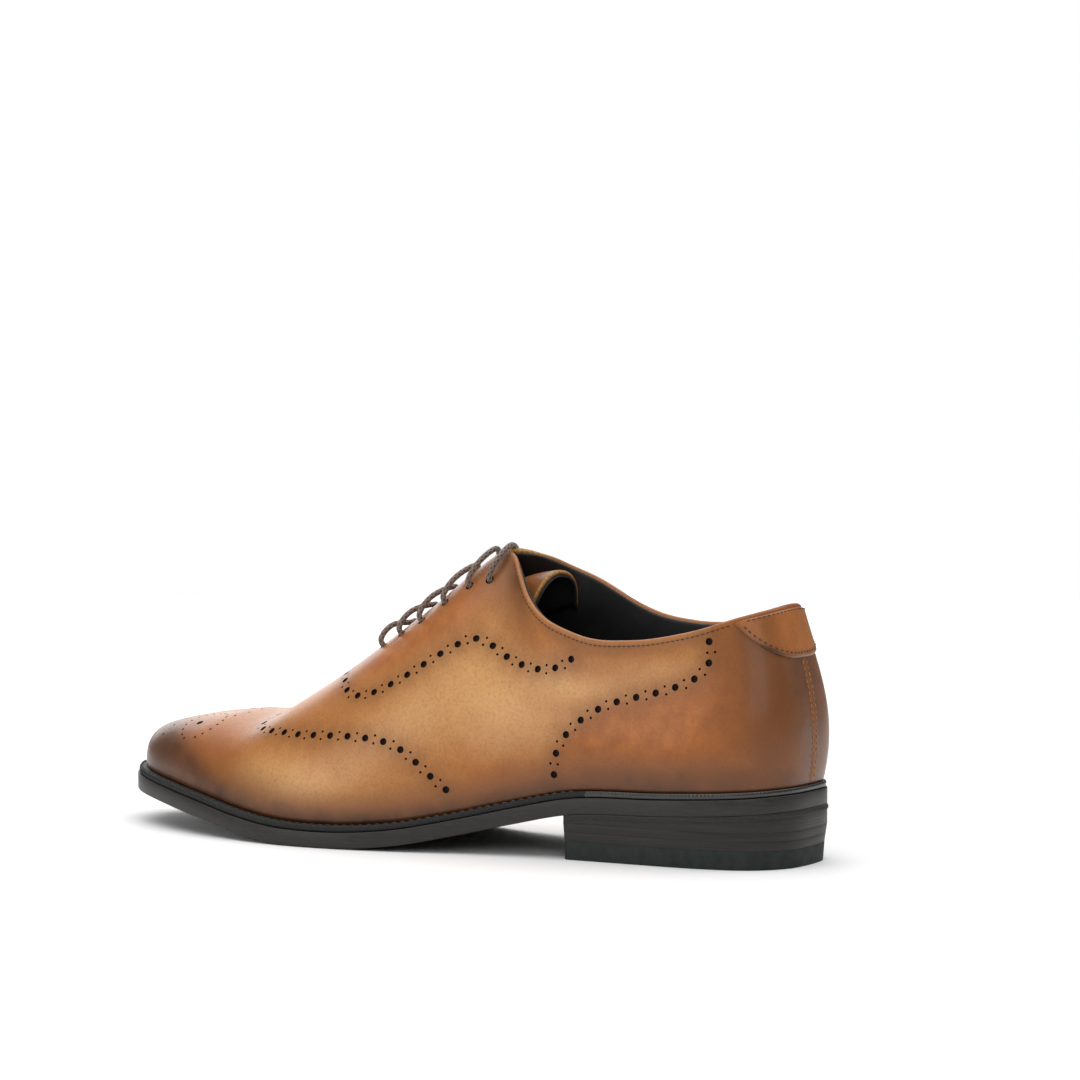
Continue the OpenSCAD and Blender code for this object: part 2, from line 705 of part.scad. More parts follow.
// Extra points on a smooth curve through a route
function blend(a, b, c, d, s) =
    b + (c - a) * s / 2 + (a * 2 - b * 5 + c * 4 - d) * s * s / 2
    + (b * 3 - a - c * 3 + d) * s * s * s / 2;
function smooth(route) =
    let (last = len(route) - 1)
    concat(
        [for (i = [0:last - 1]) each [
            route[i],
            blend(route[max(i - 1, 0)], route[i], route[i + 1], route[min(i + 2, last)], 0.5)
        ]],
        [route[last]]
    );
lace_route = concat(
    [front_end_route[0]],
    [for (i = [0:hole_rows - 1]) each concat(
        bar(bar_order[i], i % 2 == 1),
        i < hole_rows - 1 ? run(bar_order[i], bar_order[i + 1], i % 2 == 0) : []
    )],
    [rear_end_route[0]]
);
module lace() {
    color("dimgray") tube(lace_route, lace_d, [0, 0, 1]);
}
module lace_end_rear() {
    color("dimgray") tube(smooth(rear_end_route), lace_d, [0, 1, 0]);
}
module lace_end_front() {
    color("dimgray") tube(smooth(front_end_route), lace_d, [0, 1, 0]);
}
module aglet(route) {
    last = len(route) - 1;
    color("black")
        translate(route[last])
            point_along(unit(route[last] - route[last - 1]))
                cylinder(d = aglet_d, h = aglet_l);
}
module aglet_rear() {
    aglet(rear_end_route);
}
module aglet_front() {
    aglet(front_end_route);
}

upper();
heel_tab();
topline_tape();
toe_puff();
heel_counter();
interlining_lateral();
interlining_medial();
facing_stay_lateral();
facing_stay_medial();
vamp_lining();
quarter_lining_lateral();
quarter_lining_medial();
blind_eyelets();
tongue();
tongue_lining();
lace();
lace_end_rear();
lace_end_front();
aglet_rear();
aglet_front();
sock_liner();
insole();
cork_filler();
shank();
welt();
heel_rand();
outsole();
heel_seat_lift();
heel_lift_upper();
heel_lift_lower();
top_lift();
heel_nails();
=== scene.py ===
"""Looks of a leather oxford shoe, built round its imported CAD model."""
import math
from contextlib import contextmanager

import bmesh
import bpy
import numpy as np
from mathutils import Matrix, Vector, kdtree
from mathutils.bvhtree import BVHTree


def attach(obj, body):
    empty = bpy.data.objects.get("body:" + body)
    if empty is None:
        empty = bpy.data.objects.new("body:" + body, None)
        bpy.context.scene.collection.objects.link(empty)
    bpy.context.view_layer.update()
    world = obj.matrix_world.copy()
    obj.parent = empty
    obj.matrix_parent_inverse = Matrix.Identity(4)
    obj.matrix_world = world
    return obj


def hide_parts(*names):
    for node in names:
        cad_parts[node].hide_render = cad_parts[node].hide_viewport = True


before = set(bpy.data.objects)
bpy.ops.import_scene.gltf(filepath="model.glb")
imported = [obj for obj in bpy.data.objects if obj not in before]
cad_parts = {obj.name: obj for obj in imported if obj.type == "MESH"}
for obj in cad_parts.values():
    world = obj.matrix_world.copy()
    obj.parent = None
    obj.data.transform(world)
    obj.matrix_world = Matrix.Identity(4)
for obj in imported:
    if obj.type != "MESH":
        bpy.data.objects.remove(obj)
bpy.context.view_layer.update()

scene = bpy.context.scene
scene.view_settings.view_transform = "Standard"
MM = 0.001

# ---------------------------------------------------------------- camera
AZIMUTH, ELEVATION, DISTANCE = math.radians(119.6), math.radians(4.26), 1.938
TARGET = Vector((0.0004, 0.0321, 0.1148))
back = Vector((
    math.sin(AZIMUTH) * math.cos(ELEVATION),
    -math.cos(AZIMUTH) * math.cos(ELEVATION),
    math.sin(ELEVATION)))
camera_data = bpy.data.cameras.new("camera")
camera_data.lens = 172.4
camera_data.sensor_width = 36
camera_data.clip_end = 100
camera = bpy.data.objects.new("camera", camera_data)
camera.location = TARGET + back * DISTANCE
camera.rotation_euler = back.to_track_quat("Z", "Y").to_euler()
scene.collection.objects.link(camera)
scene.camera = camera

# ---------------------------------------------------------------- shape of the last
# All in millimetres: x across, u from the back of the heel, z up, as the CAD source has them
MID_X, MID_U = -0.4, 150.3
TOE, LAP, THROAT = 13, 26, 9.4
OUTSOLE_T, WELT_T, UPPER_T, RIM_T, LINING_T = 6, 2.3, 1.35, 1.9, 0.8
GAP = 0.15
WELT_LOW = OUTSOLE_T + GAP
FEATHER_H = OUTSOLE_T + WELT_T + 2 * GAP
LINING_OUT = 2.45
LINING_IN = LINING_OUT + LINING_T
LACE_DEPTH = LINING_IN + 2.2

# Feather line, where the upper meets the welt: station, x, u
FEATHER_OUTER = [
    (0, 0, 4.5), (1, 15, 6.8), (2, 26.3, 17.5), (3, 31, 38), (4, 31.5, 66), (5, 32, 95),
    (6, 35.5, 124), (7, 41.5, 152), (8, 46, 180), (9, 46, 207), (10, 39.5, 236),
    (11, 29.5, 262), (12, 15.5, 284.5), (13, -4, 294.5)]
FEATHER_INNER = [
    (0, 0, 4.5), (1, -15, 6.8), (2, -26.3, 17.5), (3, -31, 38), (4, -30.5, 66), (5, -27, 95),
    (6, -26, 124), (7, -31, 152), (8, -40, 180), (9, -46.5, 207), (10, -46.5, 236),
    (11, -38.5, 262), (12, -23.5, 284.5), (13, -4, 294.5)]
# Underside of the outsole: u, z
SOLE_LINE = [
    (0, 21.5), (20, 20), (50, 18.4), (90, 16.3), (110, 12), (134, 6.4), (155, 2.2), (175, 0.3),
    (190, 0), (208, 0.8), (226, 3.2), (246, 6.8), (265, 9.6), (285, 12), (302, 13.5)]
# Top edge of the upper, then the middle of the vamp: station, x, u, z
EDGE_OUTER = [
    (0, 0, 12, 94.5), (1, 12.5, 15, 93.2), (2, 20.5, 25, 90), (3, 25, 43, 84.2),
    (4, 26.5, 66, 80.4), (5, 26, 89, 81.8), (5.5, 23, 104, 87), (6, 17, 115, 95),
    (6.35, 11.5, 121, 102.5), (6.7, 6, 126, 108.5), (7, 2.2, 131, 110.5), (8, 2, 159, 90.5),
    (9, 2, 188, 69), (9.4, 0, 198, 62), (10, 0, 217, 49.3), (11, -1, 243, 45),
    (12, -2, 259, 43), (13, -3, 268, 41)]
EDGE_INNER = [
    (0, 0, 12, 94.5), (1, -12.5, 15, 93.2), (2, -20.5, 25, 90), (3, -25, 43, 85),
    (4, -26.5, 66, 84), (5, -26, 89, 89.5), (5.5, -23, 104, 98), (6, -18, 115, 103.5),
    (6.35, -13, 122, 107.5), (6.7, -7, 127.5, 110.2), (7, -2.2, 132, 111), (8, -2, 159, 90.5),
    (9, -2, 188, 69), (9.4, 0, 198, 62), (10, 0, 217, 49.3), (11, -1, 243, 45),
    (12, -2, 259, 43), (13, -3, 268, 41)]
# Section of the wall: station, lower handle's reach out, its share of the rise, upper handle's
# share of the way out, its share of the fall, and how far the ridge's slope counts
SECTION_SHAPE = [
    (0, 5.1, 0.4, 0.6, 0.35, 0), (1, 6, 0.4, 0.75, 0.35, 0), (2, 4.5, 0.4, 0.32, 0.35, 0),
    (3, 4, 0.4, -0.08, 0.35, 0), (4, 4, 0.4, -0.05, 0.35, 0), (5, 4, 0.4, 0, 0.33, 0),
    (6, 3.5, 0.42, 0.12, 0.22, 0), (7, 2.5, 0.42, 0.3, 0.08, 0.3), (8, 2, 0.45, 0.34, 0, 1),
    (9, 2, 0.52, 0.42, 0, 1), (10, 1.5, 0.62, 0.53, 0, 1), (11, 1.5, 0.7, 0.62, 0, 1),
    (12, 1.2, 0.74, 0.66, 0, 1), (13, 1, 0.76, 0.68, 0, 1)]
# Slope along the ridge: u, slope
RIDGE_SLOPE = [
    (0, 0), (131, -0.65), (188, -0.69), (217, -0.42), (243, -0.15), (270, -0.2), (300, -0.2)]
# Sole's edge out from the feather line: station, distance
SOLE_EDGE_OUTER = [
    (0, 1.4), (3, 2), (4, 2.3), (5, 2.6), (6, 3.2), (7, 4.2), (8, 5), (9, 5), (10, 4.8),
    (11, 4.4), (12, 3.7), (13, 3.2)]
SOLE_EDGE_INNER = [
    (0, 1.4), (3, 2), (4, 2.3), (5, 2.6), (6, 2.6), (7, 3.4), (8, 4.2), (9, 5), (10, 5),
    (11, 4.5), (12, 3.8), (13, 3.2)]
# Tongue: row, u, z, x, half width, how much it curves across
TONGUE_LINE = [
    (0, 198, 57.6, 0, 9, 0.012), (1, 192, 59.6, 0, 11, 0.015), (2, 186, 61.4, 0, 13, 0.02),
    (3, 175, 68.7, 0.3, 14.5, 0.022), (4, 160, 79.3, 1.6, 14.5, 0.036),
    (5, 145, 89.7, 2.4, 13.5, 0.062), (6, 131, 98, 1.2, 12.5, 0.09),
    (7, 121, 102, -1.1, 12.9, 0.072), (8, 114, 103.5, -1.7, 14.4, 0.046),
    (9, 110.5, 104, -1.8, 15.2, 0.036)]


def lap_table(outer, inner):
    """One lap of stations, with two rows more at each end for the slopes."""
    rows = [(-r[0],) + r[1:] for r in (inner[2], inner[1])] + list(outer)
    rows += [(LAP - r[0],) + r[1:] for r in inner[-2::-1]]
    rows += [(LAP + r[0],) + r[1:] for r in outer[1:3]]
    return np.array(rows, float)


def curve(table, q):
    """All columns of a table at the values q, on a smooth curve through its rows."""
    table = np.asarray(table, float)
    knots, rows = table[:, 0], table[:, 1:]
    q = np.asarray(q, float)
    gap = np.diff(knots)[:, None]
    step = np.diff(rows, axis=0) / gap
    slope = np.vstack([
        step[:1],
        (step[:-1] * gap[1:] + step[1:] * gap[:-1]) / (gap[:-1] + gap[1:]),
        step[-1:]])
    i = np.clip(np.searchsorted(knots, q, side="right") - 1, 0, len(knots) - 2)
    h = gap[i]
    s = (q - knots[i])[..., None] / h
    a, b, ma, mb = rows[i], rows[i + 1], slope[i] * h, slope[i + 1] * h
    return a + s * (ma + s * (3 * (b - a) - 2 * ma - mb + s * (2 * (a - b) + ma + mb)))


FEATHER = lap_table(FEATHER_OUTER, FEATHER_INNER)
EDGE = lap_table(EDGE_OUTER, EDGE_INNER)
SHAPE = lap_table(SECTION_SHAPE, SECTION_SHAPE)
SOLE_EDGE = lap_table(SOLE_EDGE_OUTER, SOLE_EDGE_INNER)


def unit(v):
    return v / np.maximum(np.linalg.norm(v, axis=-1, keepdims=True), 1e-12)


def lengths(points):
    """Distance of every point of a line from its first one, along the line."""
    return np.concatenate([[0], np.cumsum(np.linalg.norm(np.diff(points, axis=0), axis=1))])


def at_length(points, length, at):
    """Points of a line at distances along it."""
    return np.stack([np.interp(at, length, points[:, k]) for k in range(3)], -1)


def smooth_step(a, b, x):
    t = np.clip((np.asarray(x, float) - a) / (b - a), 0, 1)
    return t * t * (3 - 2 * t)


def wrap(q):
    return np.mod(np.asarray(q, float), LAP)


def feather_at(q):
    p = curve(FEATHER, q)
    return np.stack([p[..., 0] - MID_X, MID_U - p[..., 1]], -1)


def outward(q):
    d = feather_at(q + 0.02) - feather_at(q - 0.02)
    return unit(np.stack([-d[..., 1], d[..., 0]], -1))


def sole_z(y, h):
    return curve(SOLE_LINE, MID_U - np.asarray(y, float))[..., 0] + h


def on_sole(q, out, h):
    """Points out from the feather line, at a height above the underside of the outsole."""
    q = np.asarray(q, float)
    out = np.broadcast_to(np.asarray(out, float), q.shape)
    p = feather_at(q) + outward(q) * out[..., None]
    return np.concatenate([p, sole_z(p[..., 1], h)[..., None]], -1)


def side_edge(q):
    p = curve(EDGE, q)
    return np.stack([p[..., 0] - MID_X, MID_U - p[..., 1], p[..., 2]], -1)


def on_ridge(q):
    return (q > THROAT - 0.001) & (q < LAP - THROAT + 0.001)


def edge_at(q):
    q = np.asarray(q, float)
    shared = (side_edge(q) + side_edge(LAP - q)) / 2
    return np.where(on_ridge(q)[..., None], shared, side_edge(q))


def handles(q):
    q = np.asarray(q, float)
    foot, rim, n, s = on_sole(q, 0, FEATHER_H), edge_at(q), outward(q), curve(SHAPE, q)
    rise = rim[..., 2] - foot[..., 2]
    reach = (foot - rim)[..., :2] * s[..., 2:3]
    slope = curve(RIDGE_SLOPE, MID_U - rim[..., 1])[..., 0] * s[..., 4]
    low = foot + np.concatenate([n * s[..., 0:1], (rise * s[..., 1])[..., None]], -1)
    high = rim + np.concatenate(
        [reach, (-s[..., 3] * rise - slope * reach[..., 1])[..., None]], -1)
    return np.stack([foot, low, high, rim], -2)


def wall(q, v):
    """Points of the outer face, at stations q and shares v of the wall's height."""
    p = handles(q)
    v = np.asarray(v, float)[..., None]
    w = 1 - v
    return (p[..., 0, :] * w ** 3 + p[..., 1, :] * 3 * w * w * v
            + p[..., 2, :] * 3 * w * v * v + p[..., 3, :] * v ** 3)


def wall_normal(q, v):
    """Normal of the outer face. At the rim it is the one just below, where the face is even."""
    v = np.minimum(np.asarray(v, float), 0.985)
    dq = wall(q + 0.01, v) - wall(q - 0.01, v)
    dv = wall(q, v + 0.01) - wall(q, np.maximum(v - 0.01, 0))
    return unit(np.cross(dv, dq))


def wall_up(q, v):
    return unit(wall(q, v) - wall(q, np.asarray(v, float) - 0.02))


# ---------------------------------------------------------------- materials


def linear(hex_colour):
    values = [int(hex_colour[i:i + 2], 16) / 255 for i in (0, 2, 4)]
    return tuple(c / 12.92 if c < 0.04045 else ((c + 0.055) / 1.055) ** 2.4
                 for c in values) + (1.0,)


class Nodes:
    """Short calls for building a node material."""

    def __init__(self, name, roughness=0.5, **constants):
        self.material = bpy.data.materials.new(name)
        self.material.use_nodes = True
        self.tree = self.material.node_tree
        self.shader = self.tree.nodes["Principled BSDF"]
        self.shader.inputs["Roughness"].default_value = roughness
        for key, value in constants.items():
            self.shader.inputs[key.replace("_", " ")].default_value = value
        self.place = self.add("ShaderNodeTexCoord").outputs["Object"]

    def add(self, kind, **settings):
        node = self.tree.nodes.new(kind)
        for key, value in settings.items():
            setattr(node, key, value)
        return node

    def put(self, socket, value):
        if isinstance(value, bpy.types.NodeSocket):
            self.tree.links.new(value, socket)
        else:
            socket.default_value = value

    def noise(self, scale, detail=3, rough=0.55, stretch=None):
        node = self.add("ShaderNodeTexNoise")
        for key, value in (("Scale", scale), ("Detail", detail), ("Roughness", rough)):
            node.inputs[key].default_value = value
        self.put(node.inputs["Vector"], self.scaled(stretch) if stretch else self.place)
        return node.outputs["Fac"]

    def scaled(self, stretch):
        node = self.add("ShaderNodeMapping")
        node.inputs["Scale"].default_value = stretch
        self.put(node.inputs["Vector"], self.place)
        return node.outputs["Vector"]

    def cells(self, scale):
        node = self.add("ShaderNodeTexVoronoi", feature="DISTANCE_TO_EDGE")
        node.inputs["Scale"].default_value = scale
        self.put(node.inputs["Vector"], self.place)
        return node.outputs["Distance"]

    def attribute(self, name, output="Fac"):
        return self.add("ShaderNodeAttribute", attribute_name=name).outputs[output]

    def math(self, operation, a, b=0.0, c=0.0, clamp=False):
        node = self.add("ShaderNodeMath", operation=operation, use_clamp=clamp)
        for socket, value in zip(node.inputs, (a, b, c)):
            self.put(socket, value)
        return node.outputs[0]

    def spread(self, value, low, high, to_low=0.0, to_high=1.0):
        node = self.add("ShaderNodeMapRange", clamp=True)
        for socket, v in zip(node.inputs, (value, low, high, to_low, to_high)):
            self.put(socket, v)
        return node.outputs[0]

    def mix(self, factor, a, b):
        node = self.add("ShaderNodeMix", data_type="RGBA")
        colours = [s for s in node.inputs if s.type == "RGBA"]
        self.put(node.inputs["Factor"], factor)
        self.put(colours[0], a)
        self.put(colours[1], b)
        return next(s for s in node.outputs if s.type == "RGBA")

    def parts(self, colour):
        node = self.add("ShaderNodeSeparateColor")
        self.put(node.inputs[0], colour)
        return node.outputs[0], node.outputs[1], node.outputs[2]

    def bump(self, height, strength, distance, under=None):
        node = self.add("ShaderNodeBump")
        node.inputs["Strength"].default_value = strength
        node.inputs["Distance"].default_value = distance
        self.put(node.inputs["Height"], height)
        if under is not None:
            self.put(node.inputs["Normal"], under)
        return node.outputs["Normal"]

    def finish(self, colour, roughness=None, normal=None):
        self.put(self.shader.inputs["Base Color"], colour)
        if roughness is not None:
            self.put(self.shader.inputs["Roughness"], roughness)
        if normal is not None:
            self.put(self.shader.inputs["Normal"], normal)
        return self.material


TAN_LIGHT, TAN, TAN_DEEP = linear("CF9A60"), linear("B07137"), linear("9C5B27")
ORANGE, ORANGE_DEEP = linear("AE6524"), linear("95521C")
BURNISH, BURNISH_DARK = linear("6A4022"), linear("402412")
HALO = linear("7C4D22")
OCHRE, OCHRE_DEEP = linear("B98A48"), linear("7E5526")


def upper_material():
    m = Nodes("burnished_leather", Coat_Weight=0.22, Coat_Roughness=0.22, Specular_IOR_Level=0.32)
    burn, warm, halo = m.parts(m.attribute("tone", "Color"))
    raw, light = m.attribute("raw"), m.attribute("light")
    cloud, patch, fine = m.noise(30, 4), m.noise(150, 4), m.noise(900, 5, 0.65)
    base = m.mix(m.math("MULTIPLY", m.spread(cloud, 0.3, 0.7), 0.5), TAN, TAN_DEEP)
    # The light attribute is a painted highlight: where it is high, TAN_LIGHT is mixed in as
    # painted sheen
    base = m.mix(m.math("MULTIPLY_ADD", m.math("SUBTRACT", patch, 0.5), 0.5, light, True),
                 base, TAN_LIGHT)
    orange = m.mix(m.spread(patch, 0.3, 0.7), ORANGE_DEEP, ORANGE)
    base = m.mix(warm, base, orange)
    base = m.mix(m.math("MULTIPLY", halo, 0.6), base, HALO)
    uneven = m.math("MULTIPLY_ADD", m.math("SUBTRACT", patch, 0.5), 0.3, burn)
    uneven = m.math("MULTIPLY_ADD", m.math("SUBTRACT", cloud, 0.5), 0.4, uneven)
    strength = m.math("MULTIPLY", m.spread(burn, 0.02, 0.2), uneven, clamp=True)
    dark = m.mix(m.spread(uneven, 0.6, 1.1), BURNISH, BURNISH_DARK)
    colour = m.mix(strength, base, dark)
    colour = m.mix(m.math("MULTIPLY", m.spread(fine, 0.45, 0.75), 0.36), colour, BURNISH)
    edge = m.mix(m.spread(fine, 0.35, 0.65), OCHRE_DEEP, OCHRE)
    colour = m.mix(raw, colour, edge)
    rough = m.math("MULTIPLY_ADD", fine, 0.16, 0.3)
    rough = m.math("MULTIPLY_ADD", raw, 0.4, rough)
    grain = m.math("MULTIPLY_ADD", m.cells(1500), 0.5, m.noise(2600, 3, 0.6))
    normal = m.bump(grain, 0.7, 0.00016)
    normal = m.bump(patch, 0.16, 0.0005, normal)
    normal = m.bump(m.noise(48, 2), 0.22, 0.0016, normal)
    return m.finish(colour, rough, normal)


def dark_leather(name, low, high, roughness=0.55, grain=1800):
    m = Nodes(name, Specular_IOR_Level=0.4)
    fine = m.noise(grain, 4, 0.6)
    colour = m.mix(m.spread(m.noise(90, 3), 0.35, 0.65), linear(low), linear(high))
    normal = m.bump(m.math("MULTIPLY_ADD", m.cells(grain * 0.6), 0.6, fine), 0.3, 0.00012)
    return m.finish(colour, m.math("MULTIPLY_ADD", fine, 0.2, roughness - 0.1), normal)


# Walls and floors of the punched and lace holes: painted shade, near black, where the hollow of a
# hole falls dark
def hole_shade_material():
    m = Nodes("hole_painted_shade", 0.85, Specular_IOR_Level=0.2)
    colour = m.mix(m.noise(700, 3), linear("17110E"), linear("2C201A"))
    return m.finish(colour, None, m.bump(m.noise(1500), 0.3, 0.0001))


def lace_material():
    m = Nodes("waxed_braid", 0.6, Sheen_Weight=0.25, Sheen_Roughness=0.5)
    across = m.add("ShaderNodeUVMap", uv_map="braid").outputs["UV"]
    split = m.add("ShaderNodeSeparateXYZ")
    m.put(split.inputs[0], across)
    turn, along = split.outputs[0], split.outputs[1]
    one = m.math("SINE", m.math("MULTIPLY", m.math("ADD", turn, along), 2 * math.pi))
    two = m.math("SINE", m.math("MULTIPLY", m.math("SUBTRACT", turn, along), 2 * math.pi))
    plait = m.math("MAXIMUM", one, two)
    threads = m.spread(plait, -0.6, 1)
    # Painted shade and highlight: the colour is dark in the grooves between strands and light on
    # their crests, following the strand's height
    colour = m.mix(threads, linear("34261F"), linear("80695A"))
    colour = m.mix(m.math("MULTIPLY", m.noise(2500, 3), 0.35), colour, linear("4E423C"))
    normal = m.bump(threads, 0.55, 0.00018)
    return m.finish(colour, m.spread(threads, 0, 1, 0.75, 0.5), normal)


def sole_material(name="edge_finished_leather", low="151311", high="2A2723", rough=0.46):
    m = Nodes(name, Specular_IOR_Level=0.45)
    fibres = m.noise(420, 5, 0.65, (0.35, 0.35, 2.6))
    fine = m.noise(1800, 4, 0.6)
    colour = m.mix(m.spread(fibres, 0.3, 0.7), linear(low), linear(high))
    normal = m.bump(m.math("MULTIPLY_ADD", fine, 0.4, fibres), 0.3, 0.00018)
    return m.finish(colour, m.math("MULTIPLY_ADD", fibres, 0.25, rough - 0.12), normal)


def stacked_material():
    m = Nodes("stacked_leather", Specular_IOR_Level=0.4)
    layers = m.noise(300, 5, 0.7, (0.12, 0.12, 4.5))
    fine = m.noise(1600, 4, 0.6)
    colour = m.mix(m.spread(layers, 0.35, 0.65), linear("141210"), linear("2A2622"))
    normal = m.bump(m.math("MULTIPLY_ADD", fine, 0.3, layers), 0.42, 0.00022)
    return m.finish(colour, m.spread(layers, 0.3, 0.7, 0.38, 0.6), normal)


def rubber_material():
    m = Nodes("heel_rubber", Specular_IOR_Level=0.35)
    fine = m.noise(2200, 4, 0.7)
    colour = m.mix(m.spread(m.noise(240, 3), 0.35, 0.65), linear("181E1B"), linear("222A26"))
    return m.finish(colour, m.spread(fine, 0.2, 0.8, 0.55, 0.8), m.bump(fine, 0.25, 0.00012))


def plain_material(name, low, high, scale, roughness, bump, **constants):
    m = Nodes(name, roughness, **constants)
    value = m.noise(scale, 4, 0.6)
    colour = m.mix(m.spread(value, 0.3, 0.7), linear(low), linear(high))
    return m.finish(colour, None, m.bump(m.noise(scale * 3, 3), bump, 0.00015))


def floor_material():
    m = Nodes("floor_paper", 0.9, Specular_IOR_Level=0.1)
    colour = m.mix(m.noise(3, 2), (0.88, 0.88, 0.88, 1), (0.92, 0.92, 0.92, 1))
    return m.finish(colour)


LEATHER, HOLE_SHADE = upper_material(), hole_shade_material()
LINING = dark_leather("black_lining", "0B0C0D", "1C1B1B")
SOCK = dark_leather("sock_leather", "151313", "262120", 0.6, 1300)
LACE = lace_material()
STITCH_DARK = plain_material("dark_thread", "2A1D17", "4A352A", 2500, 0.65, 0.4)
STITCH_TAN = plain_material("tan_thread", "85592F", "AE8350", 2500, 0.6, 0.4)
STITCH_BLACK = plain_material("black_thread", "171513", "33302C", 2500, 0.6, 0.4)
SOLE = sole_material()
UNDERSIDE = sole_material("sole_underside", "17110E", "2A201A", 0.6)
WELT = sole_material("welt_leather", "0A0908", "171513", 0.6)
RAND = plain_material("rand_leather", "11100E", "24211D", 600, 0.24, 0.15, Coat_Weight=0.5)
STACK, RUBBER = stacked_material(), rubber_material()
FILM = plain_material("aglet_film", "2A2522", "453D38", 900, 0.22, 0.12, Coat_Weight=0.5)
CAD_FINISH = {
    "topline_tape": plain_material("tape_weave", "CFC3A6", "E3DAC2", 900, 0.8, 0.4),
    "toe_puff": plain_material("stiff_board", "A98E68", "BFA680", 500, 0.85, 0.3),
    "interlining_lateral": plain_material("cotton_cloth", "CFC6B2", "DDD5C4", 1200, 0.9, 0.4),
    "blind_eyelets": plain_material(
        "eyelet_brass", "8A7A55", "A89668", 700, 0.32, 0.1, Metallic=1.0),
    "insole": plain_material("insole_leather", "B98F62", "CDA578", 260, 0.7, 0.3),
    "cork_filler": plain_material("cork", "8A6440", "B48A5C", 500, 0.9, 0.5),
    "shank": plain_material("spring_steel", "6E7276", "8A8F94", 400, 0.3, 0.08, Metallic=1.0),
}
for same, as_node in (
        ("heel_counter", "toe_puff"), ("interlining_medial", "interlining_lateral"),
        ("facing_stay_lateral", "interlining_lateral"),
        ("facing_stay_medial", "interlining_lateral"), ("heel_nails", "shank")):
    CAD_FINISH[same] = CAD_FINISH[as_node]
for node, finish in CAD_FINISH.items():
    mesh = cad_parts[node].data
    if not mesh.materials:
        mesh.materials.append(finish)
    for i in range(len(mesh.materials)):
        mesh.materials[i] = finish


# ---------------------------------------------------------------- making pieces


def new_piece(name, verts, faces, materials, body="shoe", slot=None, replaces=(), flat=False):
    """A piece from points in millimetres."""
    mesh = bpy.data.meshes.new(name)
    mesh.from_pydata(np.asarray(verts, float) * MM, [], [list(map(int, f)) for f in faces])
    mesh.validate()
    if not flat:
        mesh.shade_smooth()
    for material in materials:
        mesh.materials.append(material)
    obj = bpy.data.objects.new(name, mesh)
    scene.collection.objects.link(obj)
    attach(obj, body)
    if replaces:
        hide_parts(*replaces)
    return obj


def sweep_faces(n, m, path_closed, profile_closed=True):
    """Quads of a grid of n rows of m points."""
    i = np.arange(n if path_closed else n - 1)[:, None]
    k = np.arange(m if profile_closed else m - 1)[None, :]
    i2, k2 = (i + 1) % n, (k + 1) % m
    return np.stack([i * m + k, i2 * m + k, i2 * m + k2, i * m + k2], -1).reshape(-1, 4)


def swept(name, rings, path_closed, materials, flat_ends=False, **what):
    """A solid from closed profiles along a path. Flat ends are for profiles folded double."""
    rings = np.asarray(rings, float)
    n, m = rings.shape[:2]
    faces = [list(f) for f in sweep_faces(n, m, path_closed)]
    for start in (0, (n - 1) * m) if not path_closed else ():
        if flat_ends:
            faces += [[start + i for i in dict.fromkeys((k, k + 1, m - 2 - k, m - 1 - k))]
                      for k in range((m - 1) // 2)]
        else:
            faces.append([start + k for k in range(m)])
    obj = new_piece(name, rings.reshape(-1, 3), faces, materials, **what)
    if flat_ends:
        merged(obj)
    outward_normals(obj)
    return obj


@contextmanager
def bmesh_of(obj):
    """An object's mesh, opened for editing and put back."""
    bm = bmesh.new()
    bm.from_mesh(obj.data)
    yield bm
    bm.to_mesh(obj.data)
    bm.free()


def merged(obj):
    with bmesh_of(obj) as bm:
        bmesh.ops.remove_doubles(bm, verts=bm.verts, dist=2e-6)
        loose = [v for v in bm.verts if not v.link_faces]
        bmesh.ops.delete(bm, geom=loose, context="VERTS")
        bmesh.ops.recalc_face_normals(bm, faces=bm.faces)


def outward_normals(obj):
    with bmesh_of(obj) as bm:
        bmesh.ops.recalc_face_normals(bm, faces=bm.faces)


def sharpen(obj, degrees):
    """Smooth shading, with the edges sharper than an angle kept."""
    with bmesh_of(obj) as bm:
        for e in bm.edges:
            e.smooth = len(e.link_faces) != 2 or e.calc_face_angle(0) < math.radians(degrees)


def fetch(items, field, width=1, kind=float):
    """One field of every item, as an array."""
    values = np.empty(len(items) * width, kind)
    items.foreach_get(field, values)
    return values.reshape(-1, width) if width > 1 else values


def along_path(points, spacing):
    """Places at an even spacing along a line, the direction there, and the share of its length."""
    length = lengths(points)
    count = max(int(round(length[-1] / spacing)), 1)
    at = (np.arange(count) + 0.5) * length[-1] / count
    reach = 0.4
    ahead, behind = (at_length(points, length, at + d) for d in (reach, -reach))
    return at_length(points, length, at), unit(ahead - behind), at / length[-1]


def stitches(name, places, directions, normals, length, width, material, **what):
    """A row of stitches, each a rounded bar of thread half sunk in the surface."""
    sides, rows = 6, 5
    verts, faces = [], []
    t = np.linspace(-1, 1, rows)
    for place, along, n in zip(places, directions, normals):
        along = unit(along - n * np.dot(along, n))
        side = np.cross(n, along)
        start = len(verts)
        for s in t:
            r = width / 2 * math.sqrt(max(1 - s * s * 0.94, 0.02))
            sink = n * (0.22 * width - 0.45 * width * s * s)
            for k in range(sides):
                a = 2 * math.pi * k / sides
                verts.append(place + along * s * length / 2 + sink
                             + side * r * math.cos(a) + n * r * math.sin(a))
        faces += [[start + i for i in f] for f in sweep_faces(rows, sides, False)]
        faces.append([start + k for k in range(sides)][::-1])
        faces.append([start + (rows - 1) * sides + k for k in range(sides)])
    obj = new_piece(name, verts, faces, [material], **what)
    outward_normals(obj)


